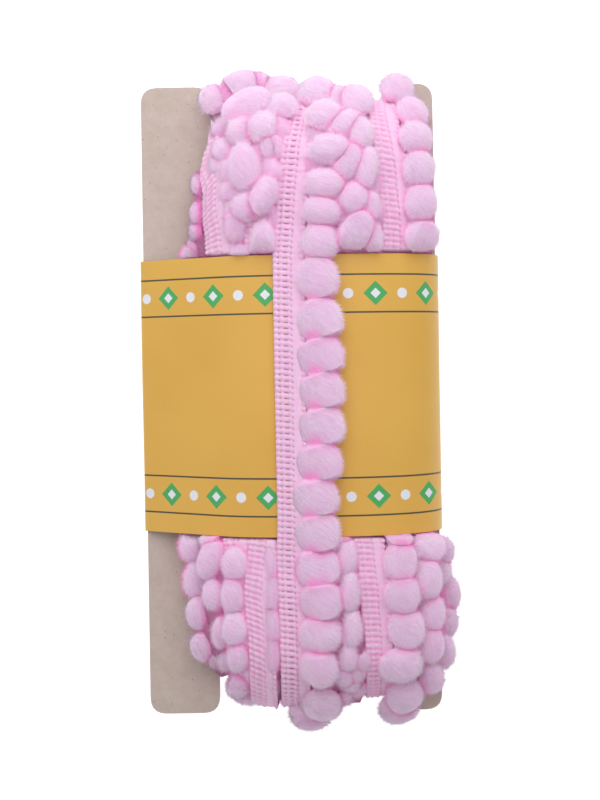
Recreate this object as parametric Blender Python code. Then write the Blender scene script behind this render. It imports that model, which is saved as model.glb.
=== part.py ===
"""Pompom fringe trim wound round a notched card, held by a paper band under its last turn.

The card lies on its back: X runs across it, Y up it, Z out of its face. The origin is on the surface
that it lies on, under the middle of the card. Metres.
"""

import math
import random

import bmesh
import bpy
from mathutils import Vector

MM = 0.001

# ---- Driving dimensions, in millimetres -------------------------------------------------------------
CLEARANCE = 0.3          # between solids that touch

CARD_WIDTH = 89.0
CARD_HEIGHT = 191.0
CARD_THICKNESS = 1.6
CARD_MID_Z = 20.0        # height of the card's mid-plane over the surface
CARD_CORNER = 5.0        # radius of the tabs' corners
NOTCH_LEFT = -23.3
NOTCH_RIGHT = 31.0
NOTCH_DEPTH = 20.0

BAND_LOW = -39.5         # lower and upper edge of the paper band, along Y
BAND_HIGH = 42.5
BAND_THICKNESS = 0.6
ON_BAND = 2 * CLEARANCE + BAND_THICKNESS   # from the body's skin to what lies on the band

TRIM_PITCH = 10.0        # from one pompom to the next
POMPOM_OUT = 13.7        # from the tape's free edge to a pompom's middle
POMPOM_RADII = (5.2, 4.75, 4.6)   # across the trim, along it, and out of the winding
POMPOM_LIFT = 4.0        # from the body's skin to a pompom's middle
POMPOM_FLAT = 0.82       # height of its flat top, as a share of its radius

# The tape's upper side from its free edge: how far across, and how high. A ladder, a lower smooth strip,
# and the picot that the pompoms are tied to.
TAPE_SECTION = ((0.0, 0.0), (0.4, 1.3), (5.5, 1.3), (8.2, 0.8), (8.8, 1.8), (10.1, 1.7), (10.6, 0.0))

# The wound body is an oval round the card. Its loops run over the notches in planes of constant X.
BODY_LEFT = -27.6
BODY_RIGHT = 43.6
BODY_FRONT = 19.1        # height of its front over the card's mid-plane, under the band
BODY_BULGE = 1.4         # how much higher it stands clear of the band
BODY_BACK_BAND = 19.1    # depth of its flat back under the band
BODY_BACK = 16.4         # and beyond the band, where flattened pompoms reach on to the surface
BODY_HALF_LENGTH = 89.0
BODY_END = 19.0          # how far each rounded end reaches past the straight part
BODY_SIDE_SHARE = 0.22   # height of the oval's sides, as a share of its middle
TAPER_LEFT = 0.17        # how much shorter the loops at either side are
TAPER_RIGHT = 0.05
BACK_FULLNESS = 1.16     # the back's oval is cut flat where it is fuller than this allows

# ---- The turns whose tape shows ----------------------------------------------------------------------
# The place of the tape's free edge along X: down the front at each height, then up the back.
# stack is how high the tape lies, over the turn beside it.
TURNS = (
    dict(name="left", stack=0.0, back=-26.0,
         front=((84, -23.2), (68, -25.6), (54, -25.0), (43, -23.6), (-41, -20.6), (-64, -20.8), (-88, -19.5))),
    dict(name="second", stack=0.7, back=-8.7,
         front=((84, -11.5), (47, -12.7), (-40, -12.4), (-52, -14.6), (-64, -15.1), (-86, -13.8))),
    dict(name="last", stack=0.0, back=8.6,
         front=((84, 0.4), (74, -1.8), (60, -3.4), (42, -4.8), (18, -4.5), (-40, -4.1), (-72, -4.7),
                (-88, -4.0))),
    dict(name="right", stack=0.4, back=25.9,
         front=((88, 24.4), (74, 25.4), (60, 26.6), (45, 27.4), (-41, 17.9), (-52, 18.3), (-76, 20.9),
                (-88, 21.6))),
)

# Rows of pompoms, from the band round an end to the band again. x_band, x_end and x_back are where their
# middles lie at the front of the band, on the end and on the back. lift is added to the usual one.
# Pompoms are made from number first of the row up to, and without, number stop.
ROWS = (
    dict(end="lower", x_band=-30.4, x_end=-25.6, x_back=-29.0, lift=-2.4, first=0, stop=4),
    dict(end="lower", x_band=-22.7, x_end=-22.0, x_back=-22.0, lift=-2.4, first=0, stop=2),
    dict(end="lower", x_band=-15.9, x_end=-16.6, x_back=-12.3, lift=-1.4, first=0, stop=99),
    dict(end="lower", x_band=-1.0, x_end=-1.0, x_back=5.0, lift=-0.6, first=6, stop=99),
    dict(end="lower", x_band=15.0, x_end=16.0, x_back=16.7, lift=-1.0, first=0, stop=5),
    dict(end="lower", x_band=31.0, x_end=31.4, x_back=39.7, lift=0.0, first=0, stop=99),
    dict(end="lower", x_band=38.7, x_end=38.2, x_back=39.0, lift=-1.0, first=0, stop=5),
    dict(end="lower", x_band=45.0, x_end=41.4, x_back=42.0, lift=-1.0, first=0, stop=5),
    dict(end="upper", x_band=-29.6, x_end=-26.2, x_back=-27.0, lift=-2.4, first=0, stop=3),
    dict(end="upper", x_band=-13.0, x_end=-14.0, x_back=-12.3, lift=-0.6, first=5, stop=99),
    dict(end="upper", x_band=-3.0, x_end=-2.8, x_back=5.0, lift=-0.6, first=5, stop=99),
    dict(end="upper", x_band=19.0, x_end=19.0, x_back=19.0, lift=-0.6, first=5, stop=6),
    dict(end="upper", x_band=40.2, x_end=35.6, x_back=39.7, lift=0.0, first=0, stop=99),
)

# Rows on the back alone, over the card's left side.
BACK_ROWS = (
    dict(x=-30.0, y_start=-44.7, y_end=-75.0),
    dict(x=-30.0, y_start=47.7, y_end=77.0),
)

# Pompoms that lie out of line at the upper end of the front. turn is the angle of their length from X.
STRAYS = (
    dict(x=-21.3, y=88.8, length=6.8, width=4.8, turn=35),
    dict(x=-11.1, y=85.1, length=7.2, width=4.5, turn=38),
    dict(x=-0.9, y=85.2, length=5.6, width=4.9, turn=0),
    dict(x=-10.2, y=78.0, length=7.2, width=4.6, turn=18),
    dict(x=-18.9, y=74.5, length=4.6, width=4.2, turn=0),
    dict(x=-12.8, y=67.3, length=6.8, width=4.8, turn=92),
    dict(x=-6.4, y=60.4, length=6.4, width=4.4, turn=55),
    dict(x=-13.8, y=56.0, length=5.6, width=4.8, turn=20),
    dict(x=-7.8, y=47.5, length=4.8, width=4.8, turn=0),
    dict(x=19.4, y=88.6, length=6.0, width=5.0, turn=-15),
    dict(x=17.0, y=80.0, length=6.2, width=4.2, turn=45),
    dict(x=22.0, y=76.4, length=5.6, width=4.0, turn=80),
    dict(x=17.4, y=69.0, length=6.0, width=4.6, turn=45),
    dict(x=22.9, y=66.5, length=6.2, width=4.0, turn=75),
    dict(x=18.4, y=58.8, length=5.6, width=4.8, turn=30),
    dict(x=23.8, y=55.7, length=5.6, width=4.0, turn=80),
    dict(x=19.2, y=48.4, length=6.2, width=5.2, turn=60),
)

# ---- Mesh fineness -----------------------------------------------------------------------------------
END_STEPS = 8            # facets round each end
STRAIGHT_STEPS = 4       # facets along each straight part, either side of the band
POMPOM_SIDES = 6

FRONT, LOW_END, BACK, TOP_END = range(4)   # a loop's four parts, each one unit of u long


def clear_scene():
    for obj in list(bpy.data.objects):
        bpy.data.objects.remove(obj, do_unlink=True)


def smooth(t):
    t = min(1.0, max(0.0, t))
    return t * t * (3 - 2 * t)


def mix(a, b, t):
    return a + (b - a) * t


def make_material(name, colour, roughness):
    material = bpy.data.materials.new(name)
    material.use_nodes = True
    shader = material.node_tree.nodes["Principled BSDF"]
    shader.inputs["Base Color"].default_value = (*colour, 1.0)
    shader.inputs["Roughness"].default_value = roughness
    shader.inputs["Metallic"].default_value = 0.0
    return material


def make_object(name, points, faces, material=None):
    """An object of the given points, in millimetres, with its faces turned outwards."""
    mesh = bpy.data.meshes.new(name)
    mesh.from_pydata([Vector(p) * MM for p in points], [], faces)
    solid = bmesh.new()
    solid.from_mesh(mesh)
    bmesh.ops.recalc_face_normals(solid, faces=solid.faces)
    solid.to_mesh(mesh)
    solid.free()
    obj = bpy.data.objects.new(name, mesh)
    bpy.context.scene.collection.objects.link(obj)
    if material:
        mesh.materials.append(material)
    return obj


def loft(name, rings, closed, material=None):
    """An object through rings of points: a closed tube, or one with a flat face at each end."""
    count, size = len(rings), len(rings[0])
    faces = [] if closed else [list(range(size)), list(range((count - 1) * size, count * size))]
    for i in range(count if closed else count - 1):
        a, b = i * size, (i + 1) % count * size
        faces += [[a + k, a + (k + 1) % size, b + (k + 1) % size, b + k] for k in range(size)]
    return make_object(name, [p for ring in rings for p in ring], faces, material)


def add_boolean(obj, operation, **operand):
    modifier = obj.modifiers.new(operation.lower(), "BOOLEAN")
    modifier.operation = operation
    modifier.solver = "EXACT"
    for field, value in operand.items():
        setattr(modifier, field, value)


# ---- The wound body's skin ---------------------------------------------------------------------------
def across_body(x):
    middle, half = (BODY_LEFT + BODY_RIGHT) / 2, (BODY_RIGHT - BODY_LEFT) / 2
    return max(-1.0, min(1.0, (x - middle) / half))


def fullness(x):
    """Height of the oval at x, as a share of its middle."""
    return BODY_SIDE_SHARE + (1 - BODY_SIDE_SHARE) * (1 - abs(across_body(x)) ** 2.5) ** (1 / 2.1)


def half_length(x):
    across = across_body(x)
    return BODY_HALF_LENGTH * (1 - (TAPER_LEFT if across < 0 else TAPER_RIGHT) * across**4)


def beyond_band(y):
    """How far y is outside the band."""
    return max(BAND_LOW - y, y - BAND_HIGH)


def front_height(x, y):
    return (BODY_FRONT + BODY_BULGE * smooth((beyond_band(y) - 1) / 14)) * fullness(x)


def back_depth(x, y):
    """The back is pressed flat. It is lower under the band than beyond it, where pompoms fill the rest."""
    flat = mix(BODY_BACK_BAND, BODY_BACK, smooth((beyond_band(y) + 0.5) / 3.0))
    return min(flat, BODY_BACK_BAND * BACK_FULLNESS * fullness(x))


def straight_y(x, along):
    """Y along the straight part of the loop at x. Only its lengths beyond the band differ between loops."""
    reach = BODY_HALF_LENGTH - BODY_END
    y = mix(reach, -reach, along)
    edge = BAND_HIGH if y > 0 else -BAND_LOW
    past = abs(y) - edge
    if past > 0:
        y = math.copysign(edge + past * (half_length(x) - BODY_END - edge) / (reach - edge), y)
    return y


def skin(x, u):
    """The point at part u of the loop at x. u counts down the front, round the end, up the back and over."""
    u %= 4
    straight = half_length(x) - BODY_END
    part = int(u)
    along = u - part
    if part in (FRONT, BACK):
        y = straight_y(x, along if part == FRONT else 1 - along)
        z = front_height(x, y) if part == FRONT else -back_depth(x, y)
    else:
        front, back = front_height(x, straight), back_depth(x, straight)
        angle = math.pi * along
        up = math.cos(angle) if part == LOW_END else -math.cos(angle)
        y = (-1 if part == LOW_END else 1) * (straight + BODY_END * math.sin(angle))
        z = (front - back) / 2 + (front + back) / 2 * up
    return Vector((x, y, CARD_MID_Z + z))


def outward(x, u):
    """The unit normal of the skin, pointing out of the winding."""
    across = skin(x + 0.4, u) - skin(x - 0.4, u)
    along = skin(x, u + 0.02) - skin(x, u - 0.02)
    return along.cross(across).normalized()


def u_of(x, y, face=FRONT):
    """The loop's parameter for a height y on its front or back, and round the ends past them."""
    straight = half_length(x) - BODY_END
    if abs(y) <= straight:
        reach = BODY_HALF_LENGTH - BODY_END
        edge = BAND_HIGH if y > 0 else -BAND_LOW
        past = abs(y) - edge
        if past > 0:
            y = math.copysign(edge + past * (reach - edge) / (straight - edge), y)
        along = (reach - y) / (2 * reach)
        return along if face == FRONT else BACK + 1 - along
    turned = math.asin(min(1.0, (abs(y) - straight) / BODY_END)) / math.pi
    if face == FRONT:
        return 1 + turned if y < 0 else -turned
    return BACK - turned if y < 0 else BACK + 1 + turned


def loop_stations():
    """The values of u at which a loop has its corners, the same for every loop of the body."""
    reach = BODY_HALF_LENGTH - BODY_END
    heights = [mix(reach, BAND_HIGH + 3, i / STRAIGHT_STEPS) for i in range(STRAIGHT_STEPS + 1)]
    heights += [BAND_HIGH + 0.8, 0.5 * (BAND_LOW + BAND_HIGH), BAND_LOW - 0.8]
    heights += [mix(BAND_LOW - 3, -reach, i / STRAIGHT_STEPS) for i in range(STRAIGHT_STEPS + 1)]
    down = [(reach - y) / (2 * reach) for y in heights]
    end = [i / END_STEPS for i in range(1, END_STEPS)]
    stations = [FRONT + t for t in down] + [LOW_END + t for t in end]
    return stations + [BACK + 1 - t for t in reversed(down)] + [TOP_END + t for t in end]


# ---- Card and band -----------------------------------------------------------------------------------
def rounded_outline(corners, radii):
    """The points of a polygon whose corners are rounded to the given radii."""
    points = []
    for i, corner in enumerate(corners):
        here = Vector(corner)
        before = (Vector(corners[i - 1]) - here).normalized()
        after = (Vector(corners[(i + 1) % len(corners)]) - here).normalized()
        steps = 5
        for k in range(steps + 1):
            t = k / steps
            bend = (1 - t) ** 2 * before + t**2 * after
            points.append(here + bend * radii[i])
    return points


def card_outline(grow):
    """The card's outline: a rectangle with a notch in each end for the winding."""
    side, end = CARD_WIDTH / 2 + grow, CARD_HEIGHT / 2 + grow
    left, right = NOTCH_LEFT + grow, NOTCH_RIGHT - grow
    floor = end - NOTCH_DEPTH
    corners = [(-side, -end), (left, -end), (left, -floor), (right, -floor), (right, -end), (side, -end),
               (side, end), (right, end), (right, floor), (left, floor), (left, end), (-side, end)]
    outer, inner = CARD_CORNER, 1.5
    radii = [outer, outer, inner, inner, outer, outer, outer, outer, inner, inner, outer, outer]
    return rounded_outline(corners, radii)


def make_card(name, grow, material=None):
    half = CARD_THICKNESS / 2 + grow
    rings = [[(p.x, p.y, CARD_MID_Z + z) for p in card_outline(grow)] for z in (-half, half)]
    return loft(name, rings, False, material)


def convex_outline(points):
    """The convex hull of points in a plane, anticlockwise."""
    points = sorted(set(points))

    def chain(ordered):
        kept = []
        for p in ordered:
            while len(kept) > 1:
                (ax, az), (bx, bz) = kept[-2], kept[-1]
                if (bx - ax) * (p[1] - az) - (bz - az) * (p[0] - ax) > 0:
                    break
                kept.pop()
            kept.append(p)
        return kept[:-1]

    return chain(points) + chain(points[::-1])


def band_section(gap):
    """The band's section across the card: taut from the card's left edge over the oval, gap outside them."""
    middle, half = (BODY_LEFT + BODY_RIGHT) / 2, (BODY_RIGHT - BODY_LEFT) / 2
    xs = [middle + half * math.sin(math.pi / 2 * i / 14) for i in range(-14, 15)]
    points = [(x + 0.4 * (x - middle) / half, z) for x in xs for z in (front_height(x, 0), -back_depth(x, 0))]
    card_side, card_face = CARD_WIDTH / 2, CARD_THICKNESS / 2
    points += [(side * card_side, face * card_face) for side in (-1, 1) for face in (-1, 1)]
    hull = convex_outline([(round(x, 3), round(z, 3)) for x, z in points])
    grown = []
    for i, (x, z) in enumerate(hull):
        here = Vector((x, z))
        before = (here - Vector(hull[i - 1])).normalized()
        after = (Vector(hull[(i + 1) % len(hull)]) - here).normalized()
        normal = Vector((before.y + after.y, -before.x - after.x)).normalized()
        square = max(0.35, normal.dot(Vector((before.y, -before.x))))
        grown.append(here + normal * gap / square)
    return [(p.x, CARD_MID_Z + p.y) for p in grown]


def make_band(material):
    inner, outer = band_section(CLEARANCE), band_section(CLEARANCE + BAND_THICKNESS)
    rings = [[(x, y, z) for x, z in section]
             for section, y in ((inner, BAND_LOW), (outer, BAND_LOW), (outer, BAND_HIGH), (inner, BAND_HIGH))]
    return loft("band", rings, True, material)


# ---- Winding -----------------------------------------------------------------------------------------
def round_end(front, back, t):
    """A place along X that stays as it is at the front to the middle of an end, then goes to the back's."""
    return mix(front, back, smooth(2 * t - 0.9))


def turn_edge(turn, u):
    """Where the tape's free edge lies along X, at part u of its loop."""
    u %= 4

    def down_front(y):
        front = turn["front"]
        for (y0, x0), (y1, x1) in zip(front, front[1:]):
            if y >= y1:
                return mix(x1, x0, min(1.0, (y - y1) / (y0 - y1)))
        return front[-1][1]

    if u < LOW_END:
        return down_front(skin(0.0, u).y)
    if u < BACK:
        return round_end(down_front(-90), turn["back"], u - LOW_END)
    if u < TOP_END:
        return turn["back"]
    return round_end(down_front(90), turn["back"], 1 - (u - TOP_END))


def make_body(material):
    """The inner turns as one oval loaf, with the tapes of its outer turns in relief."""
    rings = []
    gap, last = 0.12, len(TAPE_SECTION) - 1
    for u in loop_stations():
        under_band = beyond_band(skin(0.0, u).y) < 2.0
        edges = [turn_edge(turn, u) for turn in TURNS] + [BODY_RIGHT]
        ring = [(BODY_LEFT, 0.0)]
        for n, turn in enumerate(TURNS):
            room = edges[n + 1] - edges[n]
            hidden = turn["name"] == "last" and (u < 1.3 or u > 3.7)
            for k, (side, high) in enumerate(TAPE_SECTION):
                x = edges[n] + min(side, room - gap * (last - k + 1))
                rise = high + turn["stack"] if high else high
                if high and under_band:
                    rise = -0.6
                ring.append((x, 0.0 if hidden else rise))
            if turn["name"] in ("last", "right"):
                ring += [(mix(edges[n] + 10.6, edges[n + 1], t), 0.0) for t in (0.35, 0.7)]
        ring.append((BODY_RIGHT, 0.0))
        rings.append([skin(x, u) + outward(x, u) * rise for x, rise in ring])
    count, size = len(rings), len(rings[0])
    faces = [[i * size for i in range(count)], [(i + 1) * size - 1 for i in range(count)]]
    for i in range(count):
        a, b = i * size, (i + 1) % count * size
        faces += [[a + k, a + k + 1, b + k + 1, b + k] for k in range(size - 1)]
    return make_object("winding", [p for ring in rings for p in ring], faces, material)


def make_last_tape():
    """The last turn's tape at the front, where it lies on the band and is let into the body past it."""
    turn = next(t for t in TURNS if t["name"] == "last")
    beyond = (12.0, 7.0, 3.4, 0.9)
    heights = [BAND_HIGH + d for d in beyond] + [20.0, 1.5, -18.0] + [BAND_LOW - d for d in reversed(beyond)]
    us = [-0.42, -0.3, -0.18, -0.06, u_of(0.0, 64.0)] + [u_of(0.0, y) for y in heights]
    us += [u_of(0.0, -60.0), 1.06, 1.18, 1.3, 1.42]
    rings = []
    for n, u in enumerate(us):
        away = beyond_band(skin(0.0, u).y)
        lift = mix(0.3, ON_BAND, 1 - smooth((away - 1.0) / 10.0))
        sunk = 1.6 if n in (0, len(us) - 1) else 0.0
        low = ON_BAND if away < 2.0 else -0.8
        edge = turn_edge(turn, u)
        ring = [(side, max(high, 0.4) + lift - sunk) for side, high in TAPE_SECTION]
        ring += [(TAPE_SECTION[-1][0], low - sunk), (TAPE_SECTION[0][0], low - sunk)]
        rings.append([skin(edge + side, u) + outward(edge + side, u) * high for side, high in ring])
    return loft("last_tape", rings, False)


def pompom_shape():
    """Points and faces of a plain ball with flat tops, one unit in radius."""
    sides = POMPOM_SIDES
    cap = math.sqrt(1 - POMPOM_FLAT**2) * 1.06
    tall = math.sin(math.pi / 3)
    points = [(radius * math.cos(2 * math.pi * k / sides), 
               radius * math.sin(2 * math.pi * k / sides) / tall, height)
              for height, radius in ((POMPOM_FLAT, cap), (0.0, 1.0), (-POMPOM_FLAT, cap))
              for k in range(sides)]
    faces = [list(range(sides)), list(range(2 * sides, 3 * sides))]
    for ring in range(2):
        for k in range(sides):
            j = (k + 1) % sides
            faces.append([ring * sides + k, ring * sides + j, (ring + 1) * sides + j, (ring + 1) * sides + k])
    return points, faces


def make_pompom(x, u, lift, radii=POMPOM_RADII, turn=0.0):
    """A pompom over the skin at x and u. On the back, its flat top rests level on the surface."""
    out = outward(x, u)
    middle = skin(x, u) + out * lift
    if out.z < -0.8:
        out = Vector((0, 0, -1))
        middle.z = POMPOM_FLAT * radii[2]
    across = (Vector((1, 0, 0)) - out * out.x).normalized()
    along = out.cross(across)
    first = across * math.cos(turn) + along * math.sin(turn)
    second = out.cross(first)
    shape, faces = pompom_shape()
    points = [middle + first * (a * radii[0]) + second * (b * radii[1]) + out * (c * radii[2])
              for a, b, c in shape]
    lowest = min(p.z for p in points)
    if lowest < 0:
        points = [p - Vector((0, 0, lowest)) for p in points]
    return make_object("pompom", points, faces)


def meets_card(x, u, lift):
    """Whether a pompom would be cut by a tab of the card."""
    middle = skin(x, u) + outward(x, u) * lift
    reach = POMPOM_RADII[2] + CARD_THICKNESS / 2
    in_notch = NOTCH_LEFT + 4.0 < x < NOTCH_RIGHT - 4.0
    return abs(middle.z - CARD_MID_Z) < reach and not in_notch


def spaced(place, start, stop):
    """Values of u from start to stop, about one pitch apart along the path of pompoms at place(u)."""
    steps = 600
    us = [mix(start, stop, i / steps) for i in range(steps + 1)]
    reached = [0.0]
    for a, b in zip(us, us[1:]):
        reached.append(reached[-1] + (place(b) - place(a)).length)
    count = round(reached[-1] / TRIM_PITCH)
    found, i = [], 0
    for n in range(count + 1):
        while i < steps and reached[i] < n * reached[-1] / count:
            i += 1
        found.append(us[i])
    return found


def row_pompoms(row, chance):
    lower = row["end"] == "lower"
    y = BAND_LOW - 5.2 if lower else BAND_HIGH + 5.2
    start, stop = u_of(row["x_band"], y), u_of(row["x_back"], y, BACK)
    if not lower:
        stop -= 4
    lift = POMPOM_LIFT + row["lift"]
    straight = abs(start - (1 if lower else 0))

    def x_at(u):
        t = (u - start if lower else start - u) / straight
        if t < 1:
            return mix(row["x_band"], row["x_end"], t)
        return round_end(row["x_end"], row["x_back"], min(1.0, (t - 1) * straight))

    us = spaced(lambda u: skin(x_at(u), u) + outward(x_at(u), u) * lift, start, stop)
    made = []
    for u in us[row["first"]:row["stop"]]:
        if not meets_card(x_at(u), u, lift):
            made.append(make_pompom(x_at(u) + chance.uniform(-0.5, 0.5), u, lift + chance.uniform(-0.3, 0.3)))
    return made


def last_turn_pompoms():
    """The last turn's pompoms: over the top, down the front over the band, and round to the back."""
    turn = next(t for t in TURNS if t["name"] == "last")

    def x_at(u):
        return turn_edge(turn, u) + POMPOM_OUT

    def lift_at(u):
        on_band = POMPOM_FLAT * POMPOM_RADII[2] + ON_BAND
        return mix(on_band, POMPOM_LIFT, smooth((beyond_band(skin(x_at(u), u).y) - 5.0) / 9.0))

    start = u_of(22.0, BAND_HIGH + 5.2, BACK) - 4
    stop = u_of(22.0, BAND_LOW - 5.2, BACK)
    us = spaced(lambda u: skin(x_at(u), u) + outward(x_at(u), u) * POMPOM_LIFT, start, stop)
    return [make_pompom(x_at(u), u, lift_at(u)) for u in us]


def make_pompoms():
    chance = random.Random(5)
    made = last_turn_pompoms()
    for row in ROWS:
        made += row_pompoms(row, chance)
    for row in BACK_ROWS:
        count = round(abs(row["y_end"] - row["y_start"]) / TRIM_PITCH)
        for n in range(count + 1):
            y = mix(row["y_start"], row["y_end"], n / count)
            made.append(make_pompom(row["x"], u_of(row["x"], y, BACK), 1.5))
    for stray in STRAYS:
        radii = (stray["length"], stray["width"], POMPOM_RADII[2])
        made.append(make_pompom(stray["x"], u_of(stray["x"], stray["y"]), POMPOM_LIFT, radii,
                                math.radians(stray["turn"])))
    return made


def join_into(body, pieces):
    """Joins the pieces with the body, as operands of one Boolean."""
    group = bpy.data.collections.new("joined_turns")
    bpy.context.scene.collection.children.link(group)
    for piece in pieces:
        bpy.context.scene.collection.objects.unlink(piece)
        group.objects.link(piece)
        piece.hide_render = True
        piece.display_type = "WIRE"
    add_boolean(body, "UNION", operand_type="COLLECTION", collection=group)


def fill_sealed_gaps(obj):
    """Bakes the Booleans, and fills the small gaps that the turns close off inside the winding."""
    joined = bpy.data.meshes.new_from_object(obj.evaluated_get(bpy.context.evaluated_depsgraph_get()))
    solid = bmesh.new()
    solid.from_mesh(joined)
    shells, seen = [], set()
    for vertex in solid.verts:
        if vertex in seen:
            continue
        shell, waiting = [], [vertex]
        seen.add(vertex)
        while waiting:
            here = waiting.pop()
            shell.append(here)
            for edge in here.link_edges:
                other = edge.other_vert(here)
                if other not in seen:
                    seen.add(other)
                    waiting.append(other)
        shells.append(shell)
    outer = max(shells, key=len)
    bmesh.ops.delete(solid, geom=[v for shell in shells if shell is not outer for v in shell], context="VERTS")
    solid.to_mesh(joined)
    solid.free()
    obj.modifiers.clear()
    obj.data = joined


def main():
    clear_scene()
    board = make_material("card_board", (0.56, 0.49, 0.44), 0.9)
    yarn = make_material("pink_yarn", (0.86, 0.52, 0.72), 0.95)
    paper = make_material("band_paper", (0.78, 0.47, 0.10), 0.5)

    make_card("card", 0.0, board)
    make_band(paper)
    winding = make_body(yarn)
    join_into(winding, [make_last_tape()] + make_pompoms())
    slot = make_card("card_slot", CLEARANCE)
    slot.hide_render = True
    slot.display_type = "WIRE"
    add_boolean(winding, "DIFFERENCE", object=slot)
    fill_sealed_gaps(winding)


main()
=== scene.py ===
import math
from collections import namedtuple

import bpy
import numpy as np
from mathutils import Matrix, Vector


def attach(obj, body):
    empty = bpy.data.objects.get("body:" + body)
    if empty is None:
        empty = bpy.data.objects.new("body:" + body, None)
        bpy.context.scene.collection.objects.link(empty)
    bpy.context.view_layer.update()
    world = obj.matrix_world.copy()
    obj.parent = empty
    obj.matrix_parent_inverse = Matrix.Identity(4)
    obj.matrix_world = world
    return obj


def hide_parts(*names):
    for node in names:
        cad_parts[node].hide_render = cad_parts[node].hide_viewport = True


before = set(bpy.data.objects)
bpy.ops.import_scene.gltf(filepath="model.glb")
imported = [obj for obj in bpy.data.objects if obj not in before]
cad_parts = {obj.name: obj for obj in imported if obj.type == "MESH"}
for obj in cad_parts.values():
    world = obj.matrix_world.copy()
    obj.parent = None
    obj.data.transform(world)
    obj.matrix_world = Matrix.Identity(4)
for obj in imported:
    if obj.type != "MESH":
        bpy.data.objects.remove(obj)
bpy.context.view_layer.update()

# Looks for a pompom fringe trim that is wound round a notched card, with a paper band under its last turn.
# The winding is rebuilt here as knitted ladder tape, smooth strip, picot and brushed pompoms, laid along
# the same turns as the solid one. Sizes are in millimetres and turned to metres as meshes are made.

MM = 0.001

# ---- The turns, as in the solids
# A place on the wound body is x, across it, and u, round its loop: 0 to 1 down the front, 1 to 2 round the
# lower end, 2 to 3 up the back and 3 to 4 round the upper end.
CARD_MID_Z = 20.0
CARD_WIDTH, CARD_THICKNESS = 89.0, 1.6
BAND_LOW, BAND_HIGH = -39.5, 42.5
CLEARANCE, BAND_THICKNESS = 0.3, 0.6
ON_BAND = 2 * CLEARANCE + BAND_THICKNESS
PITCH = 10.0  # from one pompom to the next
BODY_LEFT, BODY_RIGHT = -27.6, 43.6
BODY_MIDDLE, BODY_HALF = (BODY_LEFT + BODY_RIGHT) / 2, (BODY_RIGHT - BODY_LEFT) / 2
BODY_FRONT, BODY_BULGE = 19.1, 1.4  # height over the card under the band, and more beside it
BODY_BACK_BAND, BODY_BACK = 19.1, 16.4  # depth at the back, under the band and beside it
BULGE_RUN, BACK_RUN = 14.0, 3.0  # how far from the band each of them takes to change
BODY_HALF_LENGTH, BODY_END = 89.0, 19.0
BODY_SIDE_SHARE = 0.22  # how thick the sides are, as a share of the middle
ROUND_ACROSS, ROUND_HIGH = 2.5, 2.1  # powers of the oval section
TAPER_LEFT, TAPER_RIGHT = 0.17, 0.05  # how much shorter the loop is at each side
BACK_FULLNESS = 1.16

# stack: how high a turn lies over the body. front and back: where its free edge is along X, by Y at the front
TURNS = dict(
    left=dict(stack=0.0, back=-26.0, front=(
        (84, -23.2), (68, -25.6), (54, -25.0), (43, -23.6), (-41, -20.6), (-64, -20.8), (-88, -19.5))),
    second=dict(stack=0.7, back=-8.7, front=(
        (84, -11.5), (47, -12.7), (-40, -12.4), (-52, -14.6), (-64, -15.1), (-86, -13.8))),
    last=dict(stack=0.0, back=8.6, front=(
        (84, 0.4), (74, -1.8), (60, -3.4), (42, -4.8), (18, -4.5), (-40, -4.1), (-72, -4.7), (-88, -4.0))),
    right=dict(stack=0.4, back=25.9, front=(
        (88, 24.4), (74, 25.4), (60, 26.6), (45, 27.4), (-41, 17.9), (-52, 18.3), (-76, 20.9), (-88, 21.6))),
)

rng = np.random.default_rng(11)


def smooth(t):
    t = np.clip(t, 0.0, 1.0)
    return t * t * (3 - 2 * t)


def mix(a, b, t):
    return a + (b - a) * t


def unit(v):
    return v / np.maximum(np.linalg.norm(v, axis=-1, keepdims=True), 1e-9)


def distances(path):
    """How far along a path each of its points lies."""
    return np.concatenate([[0], np.cumsum(np.linalg.norm(np.diff(path, axis=0), axis=1))])


def across_body(x):
    return np.clip((x - BODY_MIDDLE) / BODY_HALF, -1.0, 1.0)


def fullness(x):
    oval = (1 - np.abs(across_body(x)) ** ROUND_ACROSS) ** (1 / ROUND_HIGH)
    return BODY_SIDE_SHARE + (1 - BODY_SIDE_SHARE) * oval


def half_length(x):
    a = across_body(x)
    return BODY_HALF_LENGTH * (1 - np.where(a < 0, TAPER_LEFT, TAPER_RIGHT) * a**4)


def beyond_band(y):
    return np.maximum(BAND_LOW - y, y - BAND_HIGH)


def front_height(x, y):
    return (BODY_FRONT + BODY_BULGE * smooth((beyond_band(y) - 1) / BULGE_RUN)) * fullness(x)


def back_depth(x, y):
    flat = mix(BODY_BACK_BAND, BODY_BACK, smooth((beyond_band(y) + 0.5) / BACK_RUN))
    return np.minimum(flat, BODY_BACK_BAND * BACK_FULLNESS * fullness(x))


def straight_y(x, along):
    """Y at a share of the way down the front. Beside the band it follows the body's length at x."""
    reach = BODY_HALF_LENGTH - BODY_END
    y = mix(reach, -reach, along)
    edge = np.where(y > 0, BAND_HIGH, -BAND_LOW)
    past = np.abs(y) - edge
    scaled = edge + past * (half_length(x) - BODY_END - edge) / (reach - edge)
    return np.where(past > 0, np.sign(y) * scaled, y)


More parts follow.
